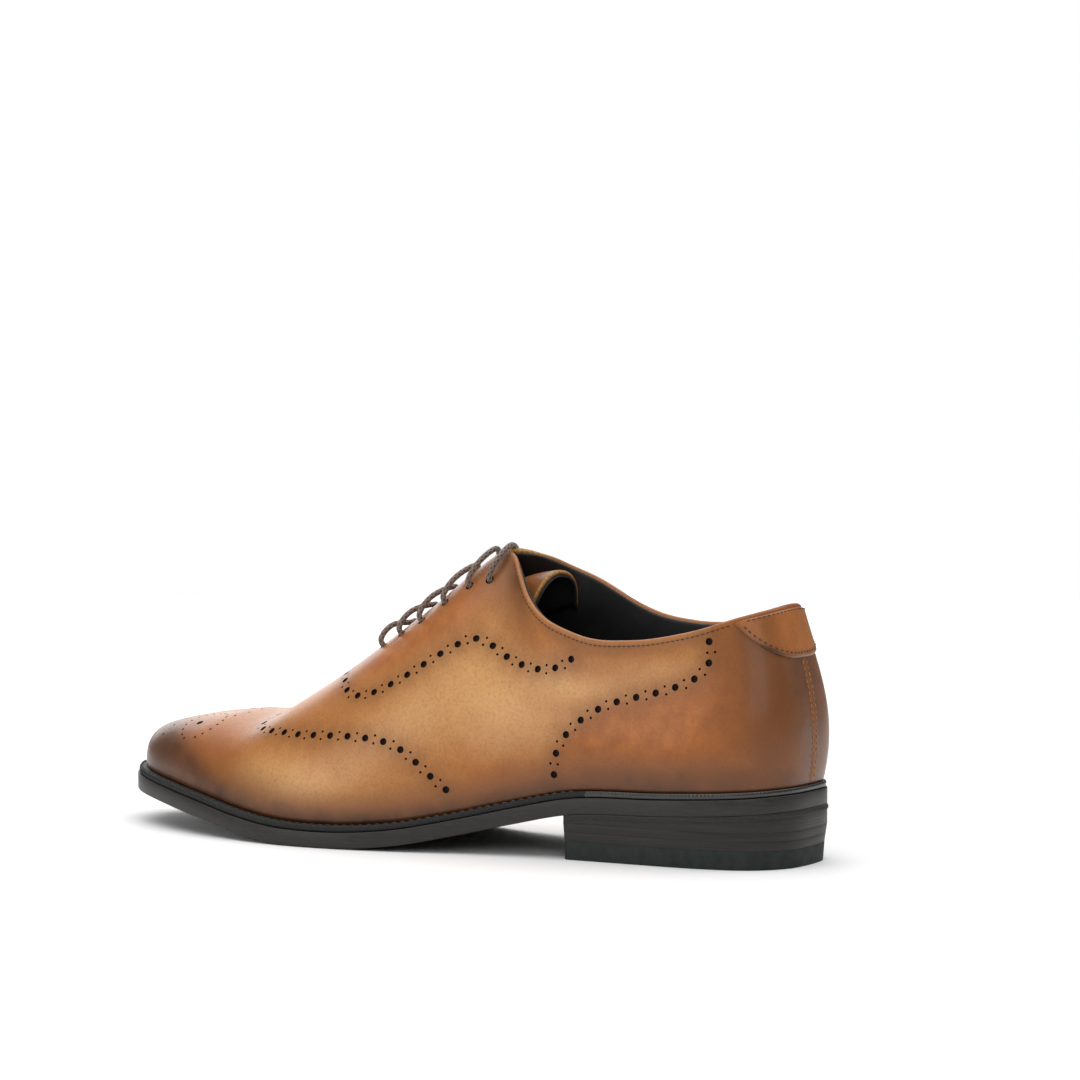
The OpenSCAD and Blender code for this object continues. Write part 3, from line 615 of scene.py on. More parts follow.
def parallel_frames(points):
    """Directions along a line of points, and a side direction that doesn't twist."""
    points = np.asarray(points, float)
    d = np.empty_like(points)
    d[1:-1] = points[2:] - points[:-2]
    d[0], d[-1] = points[1] - points[0], points[-1] - points[-2]
    d = unit(d)
    side = np.cross(d[0], [0.3, 0.1, 1.0])
    sides = []
    for direction in d:
        side = unit(side - direction * np.dot(side, direction))
        sides.append(side)
    return d, np.array(sides)


def resample(points, spacing):
    """A smooth line through points, in even steps."""
    points = np.asarray(points, float)
    table = np.column_stack([lengths(points), points])
    fine = curve(table, np.linspace(0, table[-1, 0], 12 * len(points)))
    length = lengths(fine)
    return at_length(fine, length, np.linspace(0, length[-1], int(length[-1] / spacing) + 1))


BRAID_STEP, BRAID_PITCH, STRANDS, STRAND_H = 0.5, 2.4, 4, 0.05


def braided(name, route, diameter, **what):
    """A round braided cord along a route, its turns and length in a UV map."""
    points = resample(route, BRAID_STEP)
    d, side = parallel_frames(points)
    sides = 14
    up = np.cross(d, side)
    a = 2 * np.pi * np.arange(sides) / sides
    along = (np.arange(len(points)) * BRAID_STEP)[:, None] * 2 * np.pi / BRAID_PITCH
    plait = np.maximum(np.sin(STRANDS * a + along), np.sin(STRANDS * a - along))
    r = diameter / 2 - STRAND_H + STRAND_H * plait
    rings = (points[:, None] + side[:, None] * (np.cos(a) * r)[..., None]
             + up[:, None] * (np.sin(a) * r)[..., None])
    obj = swept(name, rings, False, [LACE], **what)
    uv = obj.data.uv_layers.new(name="braid")
    index = fetch(obj.data.loops, "vertex_index", kind=int)
    turn = (index % sides) / sides
    for polygon in obj.data.polygons:
        loops = np.array(polygon.loop_indices)
        if turn[loops].max() - turn[loops].min() > 0.5:
            turn[loops] = np.where(turn[loops] < 0.5, turn[loops] + 1, turn[loops])
    values = np.stack([turn * STRANDS, (index // sides) * BRAID_STEP / BRAID_PITCH], -1)
    uv.data.foreach_set("uv", values.ravel())
    return obj


# ---------------------------------------------------------------- cords
LACE_D, AGLET_D = 2.2, 2.6
REAR_END = [
    (-4.9, 17.7, 98.2), (-8.5, 13.5, 91.5), (-12.5, 10, 82), (-15.5, 7, 72), (-19, 4.5, 60.5),
    (-22, 2, 48.5), (-24, 0.5, 37), (-24, 1, 29.5), (-23.5, 4, 24), (-22.5, 10, 21.5),
    (-21, 18, 22.8), (-19.5, 28, 25.1), (-19, 38, 27.4), (-19.5, 48, 29.7), (-20.5, 58, 31.9),
    (-21, 68, 33.3), (-20.5, 78, 34)]
FRONT_END = [
    (-4.6, 9.5, 94.5), (-8, 5, 88.5), (-12.5, 1.5, 80), (-17, -2, 70), (-21, -5, 59),
    (-24, -7.5, 47), (-26.5, -9.5, 35), (-27, -11.5, 26.5), (-27, -15, 20.5), (-27, -21, 17.3),
    (-27.5, -30, 16.3), (-29, -40, 16.1), (-30.5, -50, 16.4), (-31, -60, 17.1),
    (-30, -70, 18.4), (-28.5, -80, 20.2)]


def aglet(name, route, node):
    tip = unit(np.array(route[-1], float) - np.array(route[-2], float))
    steps = [(0, 0.86), (0.25, 0.98), (0.8, 1), (4, 0.94), (9, 0.9), (14, 0.88), (16.8, 0.84),
             (17.6, 0.66), (17.95, 0.3)]
    base = np.array(route[-1], float)
    side = unit(np.cross(tip, [0, 0, 1.0]))
    up = np.cross(side, tip)
    a = 2 * np.pi * np.arange(20) / 20
    rings = [base + tip * t + (side * np.cos(a)[:, None] + up * np.sin(a)[:, None])
             * (AGLET_D / 2 * r) for t, r in steps]
    return swept(name, rings, False, [FILM], slot="aglet_film", replaces=(node,))


for name, route in (("rear", REAR_END), ("front", FRONT_END)):
    cord = braided("lace_tail_" + name, route, LACE_D, slot="lace_cord",
                   replaces=("lace_end_" + name,))
    tip = aglet("lace_tip_" + name, route, "aglet_" + name)
    line = resample(route, 4)

# ---------------------------------------------------------------- upper
STEP = 1 / 16
half = np.round(np.arange(0, TOE + STEP / 2, STEP), 6)
half[np.argmin(abs(half - THROAT))] = THROAT
stations = np.concatenate([half, (LAP - half[-2:0:-1])])
N = len(stations)
rim_shares = np.concatenate(
    [np.linspace(0, 0.9, 66), 1 - 0.1 * np.linspace(1, 0, 15)[1:] ** 1.2])
ROWS = len(rim_shares)
Q, V = np.meshgrid(stations, rim_shares, indexing="ij")
face = wall(Q, V)
face_n = wall_normal(Q, V)
ridge = on_ridge(stations)
mirror = (N - np.arange(N)) % N
near_ridge = (smooth_step(0.8, 1.0, V) * ridge[:, None] / 2)[..., None]
face_n = unit(face_n * (1 - near_ridge) + face_n[mirror] * near_ridge)

rim_station = np.where(stations < TOE, stations, LAP - stations + 0.45)
facing = smooth_step(6.6, 7.0, rim_station)
facing_throat = smooth_step(THROAT, THROAT - 0.35, np.minimum(stations, LAP - stations))
thick = UPPER_T + (RIM_T - UPPER_T) * smooth_step(0.955, 0.995, V)
thick = np.where(ridge[:, None], UPPER_T, UPPER_T + (thick - UPPER_T) * np.where(
    facing > 0.5, facing_throat, 1)[:, None])
inside = face - face_n * thick[..., None]

CAP = 7
angle = np.pi * np.arange(1, CAP) / CAP
up = wall_up(stations, np.ones(N))
bulge = (1.15 - 0.65 * facing) * facing_throat
power = 1 - 0.45 * facing
mid = (face[:, -1] + inside[:, -1]) / 2
half_gap = (face[:, -1] - inside[:, -1]) / 2
sine = np.sin(angle)[None, :] ** power[:, None]
cosine = np.sign(np.cos(angle))[None, :] * np.abs(np.cos(angle))[None, :] ** power[:, None]
cap = (mid[:, None] + half_gap[:, None] * cosine[..., None]
       + up[:, None] * (sine * bulge[:, None])[..., None])

MARGIN_OUT = [-12, -8, -4, -1.6]
margin_low = np.stack([on_sole(stations, o, FEATHER_H) for o in MARGIN_OUT], 1)
margin_high = np.stack(
    [on_sole(stations, o, FEATHER_H + 1.3) for o in MARGIN_OUT[:3]] +
    [on_sole(stations, -2.4, FEATHER_H + 1.35)], 1)[:, ::-1]
profile = np.concatenate([margin_low, face, cap, inside[:, :0:-1], margin_high], axis=1)
M = profile.shape[1]
TOP_OUT = len(MARGIN_OUT) + ROWS - 1
TOP_IN = TOP_OUT + CAP
quads = sweep_faces(N, M, True)
column, row = np.divmod(quads[:, 0], M)
both_ridge = ridge[column] & ridge[(column + 1) % N]
in_cap = (row >= TOP_OUT) & (row < TOP_IN)
quads = quads[~(both_ridge & in_cap)]

upper_raw = np.zeros((N, M))
upper_raw[:, TOP_OUT + 1:TOP_IN] = (facing * smooth_step(0, 0.2, facing_throat))[:, None]
upper = new_piece(
    "upper_leather", profile.reshape(-1, 3), quads, [LEATHER, HOLE_SHADE],
    slot="upper_leather", replaces=("upper",))
merged(upper)

# Punched lines: control points of station and share of the wall's height, outer side
WING = [
    (6.4, 0.07), (6.95, 0.175), (7.4, 0.24), (7.9, 0.29), (8.5, 0.335), (9.1, 0.39),
    (9.6, 0.46), (9.95, 0.6), (10, 0.8), (9.9, 1)]
FACING = [
    (5, 0.86), (5.2, 0.765), (5.5, 0.695), (5.95, 0.645), (6.4, 0.61), (6.7, 0.575),
    (7, 0.51), (7.4, 0.46), (7.9, 0.45), (8.25, 0.475), (8.5, 0.54), (8.75, 0.65),
    (9.05, 0.8), (9.45, 1)]
REAR = [
    (2.58, 0.97), (2.54, 0.82), (2.85, 0.71), (3.3, 0.665), (3.95, 0.615), (4.4, 0.545),
    (4.75, 0.42), (4.95, 0.25), (4.96, 0.05)]


def punch_line(control, outer=True):
    """A punched line's points on the leather, and its stations and shares."""
    table = np.column_stack([np.arange(len(control)), np.array(control, float)])
    q, v = curve(table, np.linspace(0, len(control) - 1, 40 * len(control))).T
    q, v = q if outer else LAP - q, np.minimum(v, 1)
    return wall(q, v), q, v


def at_share(line, share):
    """Stations and shares at parts of a line's length."""
    points, q, v = line
    length = lengths(points)
    length = length / length[-1]
    return np.interp(share, length, q), np.interp(share, length, v)


# Pitch of the big holes, distance of the small pairs from the line, and least distances between
# small and big, small and small, big and big
PITCH, PAIR_OUT, SMALL_TO_BIG, SMALL_GAP, BIG_GAP = 7.6, 1.5, 2.2, 1.5, 4.2
BIG_D, SMALL_D = 2.7, 1.0

big_holes, small_holes = [], []
for control, first, spare in ((WING, 0.25, 0.25), (FACING, 0.1, 0.4), (REAR, 0.3, 0.25)):
    for outer in (True, False):
        line = punch_line(control, outer)
        count = int(round(lengths(line[0])[-1] / PITCH))
        big = (np.arange(count) + first) / (count - spare)
        gap_share = big[1] - big[0]
        small = np.concatenate([[big[0] - gap_share / 2], (big[1:] + big[:-1]) / 2,
                                [big[-1] + gap_share / 2]])
        for share in big:
            q, v = at_share(line, share)
            big_holes.append((wall(q, v), wall_normal(q, v)))
        for share in small[(small > 0.004) & (small < 0.992)]:
            q, v = at_share(line, share)
            place, n = wall(q, v), wall_normal(q, v)
            side = np.cross(n, unit(wall(*at_share(line, share + 0.002)) - place))
            small_holes += [(place + side * PAIR_OUT * s, n) for s in (-1, 1)]

# Toe medallion, laid out from above and dropped on to the leather
tree = BVHTree.FromPolygons(
    [Vector(p) for p in profile.reshape(-1, 3)], [tuple(int(i) for i in f) for f in quads])


def from_above(x, u):
    hit, normal, _, _ = tree.ray_cast(Vector((x - MID_X, MID_U - u, 200)), Vector((0, 0, -1)))
    normal = np.array(normal)
    return np.array(hit), normal * (1 if normal[2] > 0 else -1)


def toe_middle(u):
    return float(np.interp(u, [217, 243, 259, 285], [0, -1, -2, -3.5]))


def dot(x, u, big=False):
    (big_holes if big else small_holes).append(from_above(x + toe_middle(u), u))


dot(0, 247, True)
dot(0, 275, True)
for side in (-1, 1):
    dot(18.6 * side, 260, True)
    for k in range(17):
        a = 2 * math.pi * (k + 0.5) / 18 + math.pi
        dot(side * (18.2 - 9.2 * math.cos(a)), 258 + 8.8 * math.sin(a))
    for x, u in (
            (4.5, 252.5), (5.2, 257.5), (5.6, 262.5), (7.2, 267.5), (11, 271.5), (15.5, 274.5),
            (19.5, 277), (3.4, 240.5), (9, 243), (13.5, 246.5)):
        dot(side * x, u)
for u in (239, 254, 268, 281):
    dot(0, u)


def cylinders(name, places, d, above, below, sides):
    verts, faces = [], []
    a = 2 * np.pi * np.arange(sides) / sides
    for place, n in places:
        side = unit(np.cross(n, [0.31, 0.87, 0.38]))
        other = np.cross(n, side)
        ring = (side * np.cos(a)[:, None] + other * np.sin(a)[:, None]) * d / 2
        start = len(verts)
        verts += list(place + ring - n * below) + list(place + ring + n * above)
        faces += [[start + k, start + (k + 1) % sides, start + sides + (k + 1) % sides,
                   start + sides + k] for k in range(sides)]
        faces += [[start + k for k in range(sides)][::-1],
                  [start + sides + k for k in range(sides)]]
    mesh = bpy.data.meshes.new(name)
    mesh.from_pydata(np.array(verts) * MM, [], faces)
    mesh.materials.append(LEATHER)
    mesh.materials.append(HOLE_SHADE)
    # The cutter's faces carry the painted shade of the holes into the leather
    mesh.polygons.foreach_set("material_index", np.ones(len(mesh.polygons), int))
    obj = bpy.data.objects.new(name, mesh)
    scene.collection.objects.link(obj)
    outward_normals(obj)
    return obj


def cut(obj, cutter):
    modifier = obj.modifiers.new("cut", "BOOLEAN")
    modifier.operation = "DIFFERENCE"
    modifier.object = cutter
    modifier.solver = "MANIFOLD"
    depsgraph = bpy.context.evaluated_depsgraph_get()
    mesh = bpy.data.meshes.new_from_object(obj.evaluated_get(depsgraph))
    obj.modifiers.clear()
    old = obj.data
    obj.data = mesh
    bpy.data.meshes.remove(old)
    bpy.data.objects.remove(cutter)


HOLE_ROWS, FIRST_ROW, ROW_STEP, HOLE_D = 6, 8.5, 0.322, 3.4
END_HOLE_SHARE, ROW_BOW = 0.8, 0.05


def hole_place(r, outer):
    """Station and share of a lace hole. Half rows lie between two holes."""
    share = END_HOLE_SHARE - ROW_BOW * (1 - (2 * r / (HOLE_ROWS - 1) - 1) ** 2)
    return FIRST_ROW - ROW_STEP * r if outer else LAP - FIRST_ROW + ROW_STEP * r, share


def hole_at(r, outer):
    return wall(*hole_place(r, outer))


def hole_axis(r, outer):
    return wall_normal(*hole_place(r, outer))


def hole_rise(r, outer):
    q, v = hole_place(r, outer)
    return unit(wall(q, v + 0.01) - wall(q, v - 0.01))


def spaced(holes, gap):
    """Holes without those that lie nearer than a gap to one kept before."""
    kept = []
    for h in holes:
        if all(np.linalg.norm(h[0] - k[0]) > gap for k in kept):
            kept.append(h)
    return kept


lace_places = [
    (hole_at(r, o), hole_axis(r, o)) for o in (True, False) for r in range(HOLE_ROWS)]
small_holes = [h for h in small_holes
               if min(np.linalg.norm(h[0] - b[0]) for b in big_holes) > SMALL_TO_BIG]
small_holes, big_holes = spaced(small_holes, SMALL_GAP), spaced(big_holes, BIG_GAP)

cut(upper, cylinders("cut_big", big_holes, BIG_D, 1, 1.05, 20))
cut(upper, cylinders("cut_small", small_holes, SMALL_D, 1, 0.9, 10))
cut(upper, cylinders("cut_lace", lace_places, HOLE_D, 2, 3, 24))


def kd_tree(points):
    tree = kdtree.KDTree(len(points))
    for i, p in enumerate(points):
        tree.insert(Vector(p), i)
    tree.balance()
    return tree


def paint(obj, tone, raw=None, light=None):
    """Colour attributes of a leather piece: burnish, warmth and halo, raw edges, painted highlight
    spots.
    """
    for name, values in (("tone", tone), ("raw", raw), ("light", light)):
        kind, field = ("FLOAT_COLOR", "color") if name == "tone" else ("FLOAT", "value")
        layer = obj.data.attributes.new(name, kind, "POINT")
        if values is not None:
            layer.data.foreach_set(field, np.asarray(values, float).ravel())


# Colour over the leather, worked out on the whole grid and carried to the cut mesh
u_of = MID_U - face[..., 1]
rise = face[..., 2] - sole_z(face[..., 1], FEATHER_H)
half_q = np.minimum(Q, LAP - Q)
on_collar = half_q < 6.9
toe_dark = 0.9 * smooth_step(0, 1, (u_of - 243) / 32 + (36 - face[..., 2]) / 16)
welt_reach = 8.5 + 7 * smooth_step(175, 235, u_of) + 2.5 * smooth_step(180, 150, u_of)
welt_dark = 0.9 * np.exp(-(rise / welt_reach) ** 2)
heel_dark = 0.74 * smooth_step(3.3, 1.5, half_q) + 0.1 * smooth_step(1, 0.2, half_q)
heel_low = 0.85 * smooth_step(0.36, 0.04, V) * smooth_step(5.6, 4.4, half_q)
topline_gap = np.linalg.norm(face - face[:, -1:], axis=-1)
collar_dark = 0.45 * np.exp(-(topline_gap / 5) ** 2) * on_collar
throat_dark = (0.82 * smooth_step(7.9, 6.8, half_q) * smooth_step(5.2, 6.3, half_q)
               * smooth_step(0.62, 0.95, V))
lacing_dark = (0.55 * smooth_step(9.6, 8.9, half_q) * smooth_step(6.6, 7.4, half_q)
               * smooth_step(0.6, 0.95, V))
burn = np.clip(np.maximum.reduce(
    [toe_dark, welt_dark, heel_dark, heel_low, collar_dark, throat_dark, lacing_dark]), 0, 1)
rim_light = np.exp(-(topline_gap / 0.7) ** 2) * on_collar
burn *= 1 - 0.6 * rim_light

_, rear_q, rear_v = punch_line(REAR)
order = np.argsort(rear_q)
rear_share = np.interp(half_q, rear_q[order], rear_v[order])
warm = np.clip(np.maximum.reduce([
    np.where(half_q < 2.55, 1, smooth_step(0.02, -0.06, V - rear_share)) * (half_q < 4.96),
    0.8 * smooth_step(9.3, 8.2, half_q) * smooth_step(6.4, 7.2, half_q)
    * smooth_step(0.47, 0.62, V),
    0.75 * smooth_step(9.5, 10.3, half_q) * smooth_step(0.75, 0.45, V),
    0.6 * smooth_step(0.26, 0.12, V) * smooth_step(7, 6, half_q)]), 0, 1)

dots = kd_tree([place for place, _ in big_holes])
nearest = np.array([dots.find(Vector(p))[2] for p in face.reshape(-1, 3)]).reshape(Q.shape)
halo = 0.95 * np.exp(-(nearest / 5.4) ** 2)

# Painted highlights, spots where the leather is coloured lighter to stand for sheen from the
# lamps: station, share, their two widths, amount
PAINTED_HIGHLIGHTS = [
    (6.1, 0.45, 1.1, 0.2, 1), (4.9, 0.67, 0.8, 0.1, 0.8), (8.6, 0.14, 0.9, 0.09, 0.8),
    (7.3, 0.3, 0.7, 0.1, 0.5), (3.4, 0.8, 0.8, 0.1, 0.4), (9.3, 0.22, 0.7, 0.1, 0.5)]
light = np.clip(sum(
    amount * np.exp(-((half_q - q) / q_wide) ** 2 - ((V - v) / v_wide) ** 2)
    for q, v, q_wide, v_wide, amount in PAINTED_HIGHLIGHTS), 0, 1)

# Nine values for every point of the grid: tone and its alpha, raw edge, painted highlight, and
# normal
body_rows = slice(len(MARGIN_OUT), len(MARGIN_OUT) + ROWS)
skin_values = np.zeros((N, M, 9))
for k, value in enumerate((burn, warm, halo)):
    skin_values[:, body_rows, k] = value
    skin_values[:, :body_rows.start, k] = value[:, :1]
    skin_values[:, body_rows.stop:, k] = value[:, -1:]
skin_values[..., 3] = 1
skin_values[..., 4] = upper_raw
skin_values[:, body_rows, 5] = light
grid = bpy.data.meshes.new("grid")
grid.from_pydata(profile.reshape(-1, 3), [], [list(map(int, f)) for f in quads])
normals = fetch(grid.vertex_normals, "vector", 3).reshape(N, M, 3)
bpy.data.meshes.remove(grid)
normals *= np.sign((normals[:, body_rows][:, :60] * face_n[:, :60]).sum())
shared = ridge[:, None] & (np.arange(M) == TOP_OUT)[None, :]
skin_values[..., 6:] = np.where(shared[..., None], unit(normals + normals[mirror]), normals)

skin_tree = kd_tree(profile[:, :TOP_IN].reshape(-1, 3))
skin_values = skin_values[:, :TOP_IN].reshape(-1, 9)
mesh = upper.data
carried = np.empty((len(mesh.vertices), 9))
for i, p in enumerate(fetch(mesh.vertices, "co", 3) / MM):
    found = skin_tree.find_n(Vector(p), 4)
    weight = np.array([1 / (f[2] + 1e-4) ** 2 for f in found])
    carried[i] = (weight / weight.sum()) @ skin_values[[f[1] for f in found]]
paint(upper, carried[:, :4], carried[:, 4], carried[:, 5])

# Smooth normals from the grid on the outer face, the mesh's own inside, flat ones in the holes
mesh.shade_smooth()
loop_vertex = fetch(mesh.loops, "vertex_index", kind=int)
loop_total = fetch(mesh.polygons, "loop_total", kind=int)
flat = np.repeat(fetch(mesh.polygons, "normal", 3), loop_total, axis=0)
leather = np.repeat(fetch(mesh.polygons, "material_index", kind=int), loop_total) == 0
from_grid = unit(carried[:, 6:])[loop_vertex]
agree = (from_grid * flat).sum(1) > 0.35
loop_normal = np.where((leather & agree)[:, None], from_grid, flat)
own = fetch(mesh.vertex_normals, "vector", 3)[loop_vertex]
loop_normal = np.where((leather & ~agree)[:, None], own, loop_normal)
mesh.normals_split_custom_set([tuple(n) for n in loop_normal])

# ---------------------------------------------------------------- lining


def lining(name, first, last, node):
    """One part of the lining between two stations, closed at its seams."""
    q = wrap(np.linspace(first, last, int(round((last - first) * 12)) + 1))
    ring_ridge = on_ridge(q)
    shares = np.concatenate([np.linspace(0, 0.94, 30), [0.965, 0.985, 0.998]])
    qq, vv = np.meshgrid(q, shares, indexing="ij")
    share = (0.5 * smooth_step(0.75, 1, vv) * ring_ridge[:, None])[..., None]
    n = unit(wall_normal(qq, vv) * (1 - share) + wall_normal(LAP - qq, vv) * share)
    out, inn = (wall(qq, vv) - n * depth for depth in (LINING_OUT + 0.05, LINING_IN))
    for layer_points in (out, inn):
        layer_points[ring_ridge, -1, 0] = edge_at(q)[ring_ridge, 0]
    crown = (out[:, -1] + inn[:, -1]) / 2
    crown += wall_up(q, np.ones(len(q))) * np.where(ring_ridge, 0, 0.35)[:, None]
    low = [on_sole(q, o, 10.0) for o in (-12, -6, -3.6)]
    high = [on_sole(q, o, 10.8) for o in (-4.6, -6, -12)]
    rings = np.concatenate(
        [np.stack(low, 1), out, crown[:, None], inn[:, ::-1], np.stack(high, 1)], axis=1)
    swept(name, rings, False, [LINING], True, slot="lining_leather", replaces=(node,))


lining("quarter_lining_outer", 0, 9, "quarter_lining_lateral")
lining("quarter_lining_inner", 17, 26, "quarter_lining_medial")
lining("vamp_lining_leather", 9, 17, "vamp_lining")

# ---------------------------------------------------------------- heel tab, seams, stitches


def tab_share(q):
    return 0.71 + 0.285 * (np.abs(q) / 2.05) ** 2.6


tab_q = np.linspace(-2.04, 2.04, 97)
tab_s = np.concatenate([[0, 0.01], np.linspace(0.04, 0.96, 24), [0.99, 1]])
rounding = np.minimum(np.minimum(tab_s, 1 - tab_s) / 0.04, 1) ** 0.5
low_share = tab_share(tab_q)
shares = low_share[:, None] + (0.993 - low_share)[:, None] * tab_s[None, :]
qq = np.repeat(tab_q[:, None], len(tab_s), 1)
tab_points, tab_n = wall(wrap(qq), shares), wall_normal(wrap(qq), shares)
width_left = np.linalg.norm(tab_points[:, 0] - tab_points[:, -1], axis=-1)
end_round = np.clip(width_left / 2, 0, 1)[:, None] ** 0.5
tab_top = tab_points + tab_n * (0.12 + 0.8 * rounding[None, :] * end_round)[..., None]
tab_low = tab_points + tab_n * 0.05
rings = np.concatenate([tab_top, tab_low[:, ::-1]], axis=1)
tab = swept("heel_tab_leather", rings, False, [LEATHER], slot="upper_leather",
            replaces=("heel_tab",))
edge_near = np.linalg.norm(tab_points - tab_points[:, :1], axis=-1)
# Darker tab: a real dark line along its lower edge, and painted shade on both flanks around a
# station of 1.2
tab_burn_and_shade = np.clip(0.12 + 0.6 * np.exp(-(edge_near / 1.7) ** 2) + 0.4 * np.exp(
    -((np.abs(qq) - 1.2) / 0.3) ** 2), 0, 1)
tab_tone = np.zeros(rings.shape[:2] + (4,))
tab_tone[..., 0] = np.concatenate([tab_burn_and_shade, np.ones_like(tab_burn_and_shade)], axis=1)
tab_tone[..., 1] = 0.6
tab_tone[..., 3] = 1
paint(tab, tab_tone)


def on_wall(q, v, out=0.0):
    q, v = np.asarray(q, float), np.asarray(v, float)
    n = wall_normal(wrap(q), v)
    return wall(wrap(q), v) + n * out, n


def stitch_row(name, q, v, spacing, length, width, material, out=0.0):
    points, _ = on_wall(q, v, out)
    place, direction, share = along_path(points, spacing)
    _, n = on_wall(*at_share((points, q, v), share))
    stitches(name, place, direction, n, length, width, material, slot="upper_leather")


def share_below_rim(q, distance):
    """Share of the wall's height that lies a distance below its top edge."""
    q = np.asarray(q, float)
    v = np.linspace(0.6, 1, 60)
    qq, vv = np.meshgrid(q, v, indexing="ij")
    points = wall(wrap(qq), vv)
    gap = np.linalg.norm(points - points[:, -1:], axis=-1)
    return np.array([np.interp(-distance, -g, v) for g in gap])


TOPLINE_STITCH = (2.0, 1.7, 0.42, STITCH_DARK)
tab_line = np.linspace(-1.83, 1.83, 120)
tab_v = tab_share(tab_line) + 0.03 + 0.012 * (np.abs(tab_line) / 1.83) ** 2
stitch_row("tab_stitches", tab_line, tab_v, 2.3, 1.75, 0.55, STITCH_DARK, 0.86)
for name, first, last, count, below, out in (
        ("outer", 2.12, 6.6, 160, 1.0, 0.0), ("inner", -6.6, -2.12, 160, 1.0, 0.0),
        ("back", -1.75, 1.75, 100, 1.2, 0.9)):
    q = np.linspace(first, last, count)
    stitch_row("topline_stitches_" + name, q, share_below_rim(q, below), *TOPLINE_STITCH, out)
seam_v = np.linspace(0.03, 0.7, 80)
for name, side in (("left", -1), ("right", 1)):
    stitch_row("back_seam_stitches_" + name, 0.105 * side + 0 * seam_v, seam_v, 2.3, 1.7, 0.5,
               STITCH_TAN)

# Raised strip over the closed back seam
strip_v = np.linspace(0.012, 0.72, 90)
strip_q = np.linspace(-0.075, 0.075, 9)
sq, sv = np.meshgrid(strip_q, strip_v)
points, normals = on_wall(sq, sv)
height = 0.28 * np.cos(np.linspace(-1, 1, 9) * math.pi / 2)[None, :]
groove = 0.22 * np.exp(-(np.linspace(-1, 1, 9) / 0.16) ** 2)[None, :]
strip_top = points + normals * (height - groove + 0.02)[..., None]
rings = np.concatenate([strip_top, (points - normals * 0.15)[:, ::-1]], axis=1)
strip = swept("back_seam_ridge", rings, False, [LEATHER], slot="upper_leather")
paint(strip, np.tile((0.62, 0.9, 0, 1), (len(strip.data.vertices), 1)))

# ---------------------------------------------------------------- tongue


def tongue_surface(s, side):
    """Points of the tongue's outer face: s along it in rows of the table, side from -1 to 1."""
    line = curve(TONGUE_LINE, s)
    across = side * line[..., 3]
    end = (s / 9) ** 6
    round_end = (3 * side ** 4 + 2.5 * side) * end
    curl = 1 + 0.9 * side ** 4 * end
    return np.stack([
        line[..., 2] + across - MID_X,
        MID_U - (line[..., 0] + round_end),
        line[..., 1] - line[..., 4] * across * across * curl], -1)


def tongue_layer(name, depth_out, depth_in, material, node, slot, rim_round):
    s = np.linspace(0, 9, 91)
    side = np.linspace(-1, 1, 41)
    ss, kk = np.meshgrid(s, side, indexing="ij")
    points = tongue_surface(ss, kk)
    ds = tongue_surface(np.minimum(ss + 0.02, 9), kk) - tongue_surface(
        np.maximum(ss - 0.02, 0), kk)
    dk = tongue_surface(ss, kk + 0.01) - tongue_surface(ss, kk - 0.01)
    n = unit(np.cross(dk, ds))
    n *= np.sign(n[..., 2:3].mean())
    middle = (depth_out + depth_in) / 2
    half_t = (depth_in - depth_out) / 2
    edge = np.minimum(1 - np.abs(kk), (9 - ss) / 9 * 4) * 13
    swell = np.sqrt(np.clip(1 - (1 - np.clip(edge / rim_round, 0, 1)) ** 2, 0.08, 1))
    top = points - n * (middle - half_t * swell)[..., None]
    low = points - n * (middle + half_t * swell)[..., None]
    rings = np.concatenate([top, low[:, ::-1]], axis=1)
    obj = swept(name, rings, False, [material], True, body="tongue", slot=slot, replaces=(node,))
    tone = np.tile((0, 0.9, 0, 1.0), (len(s), 2 * len(side), 1))
    tone[..., 0] = np.concatenate([0.55 + 0.2 * smooth_step(6, 9, ss), np.ones_like(ss)], axis=1)
    raw = smooth_step(1.5, 0.4, edge)
    paint(obj, tone, np.concatenate([raw, 0.25 * raw[:, ::-1]], axis=1))


TONGUE_T = 2.2
tongue_layer("tongue_leather", 0.2, TONGUE_T, LEATHER, "tongue", "upper_leather", 1.0)
tongue_layer("tongue_lining_leather", TONGUE_T + 0.05, TONGUE_T + 0.05 + LINING_T, LINING,
             "tongue_lining", "lining_leather", 0.5)

# ---------------------------------------------------------------- lace
BAR_ORDER = [4, 2, 0, 1, 3, 5]


def at_hole(r, outer, out, up, side=0.0, to=0):
    point = hole_at(r, outer) + hole_axis(r, outer) * out + hole_rise(r, outer) * up
    if side:
        d, n = hole_at(to, outer) - hole_at(r, outer), hole_axis(r, outer)
        point = point + unit(d - n * np.dot(d, n)) * side
    return point


def hole_to_bar(r, outer):
    h = 1 - 0.06 * r
    return [at_hole(r, outer, -LACE_DEPTH + 0.9, 0), at_hole(r, outer, -0.7, 0),
            at_hole(r, outer, 2.1 * h, 0.6), at_hole(r, outer, 3.4 * h, 3.2),
            at_hole(r, outer, 3.7 * h, 7.5)]


def bar_middle(r):
    middle = (wall(hole_place(r, True)[0], 1) + wall(hole_place(r, False)[0], 1)) / 2
    return middle + np.array([0, -0.9, 1.9])


def run(a, b, outer):
    long = abs(a - b) > 1
    aside = (2.6 if b < a else -2.6) if long else 0
    points = [at_hole(a, outer, -LACE_DEPTH, aside * 0.4, 3, b)]
    if long:
        points.append(at_hole((a + b) / 2, outer, -LACE_DEPTH, aside))
    return points + [at_hole(b, outer, -LACE_DEPTH, aside * 0.4, 3, a)]


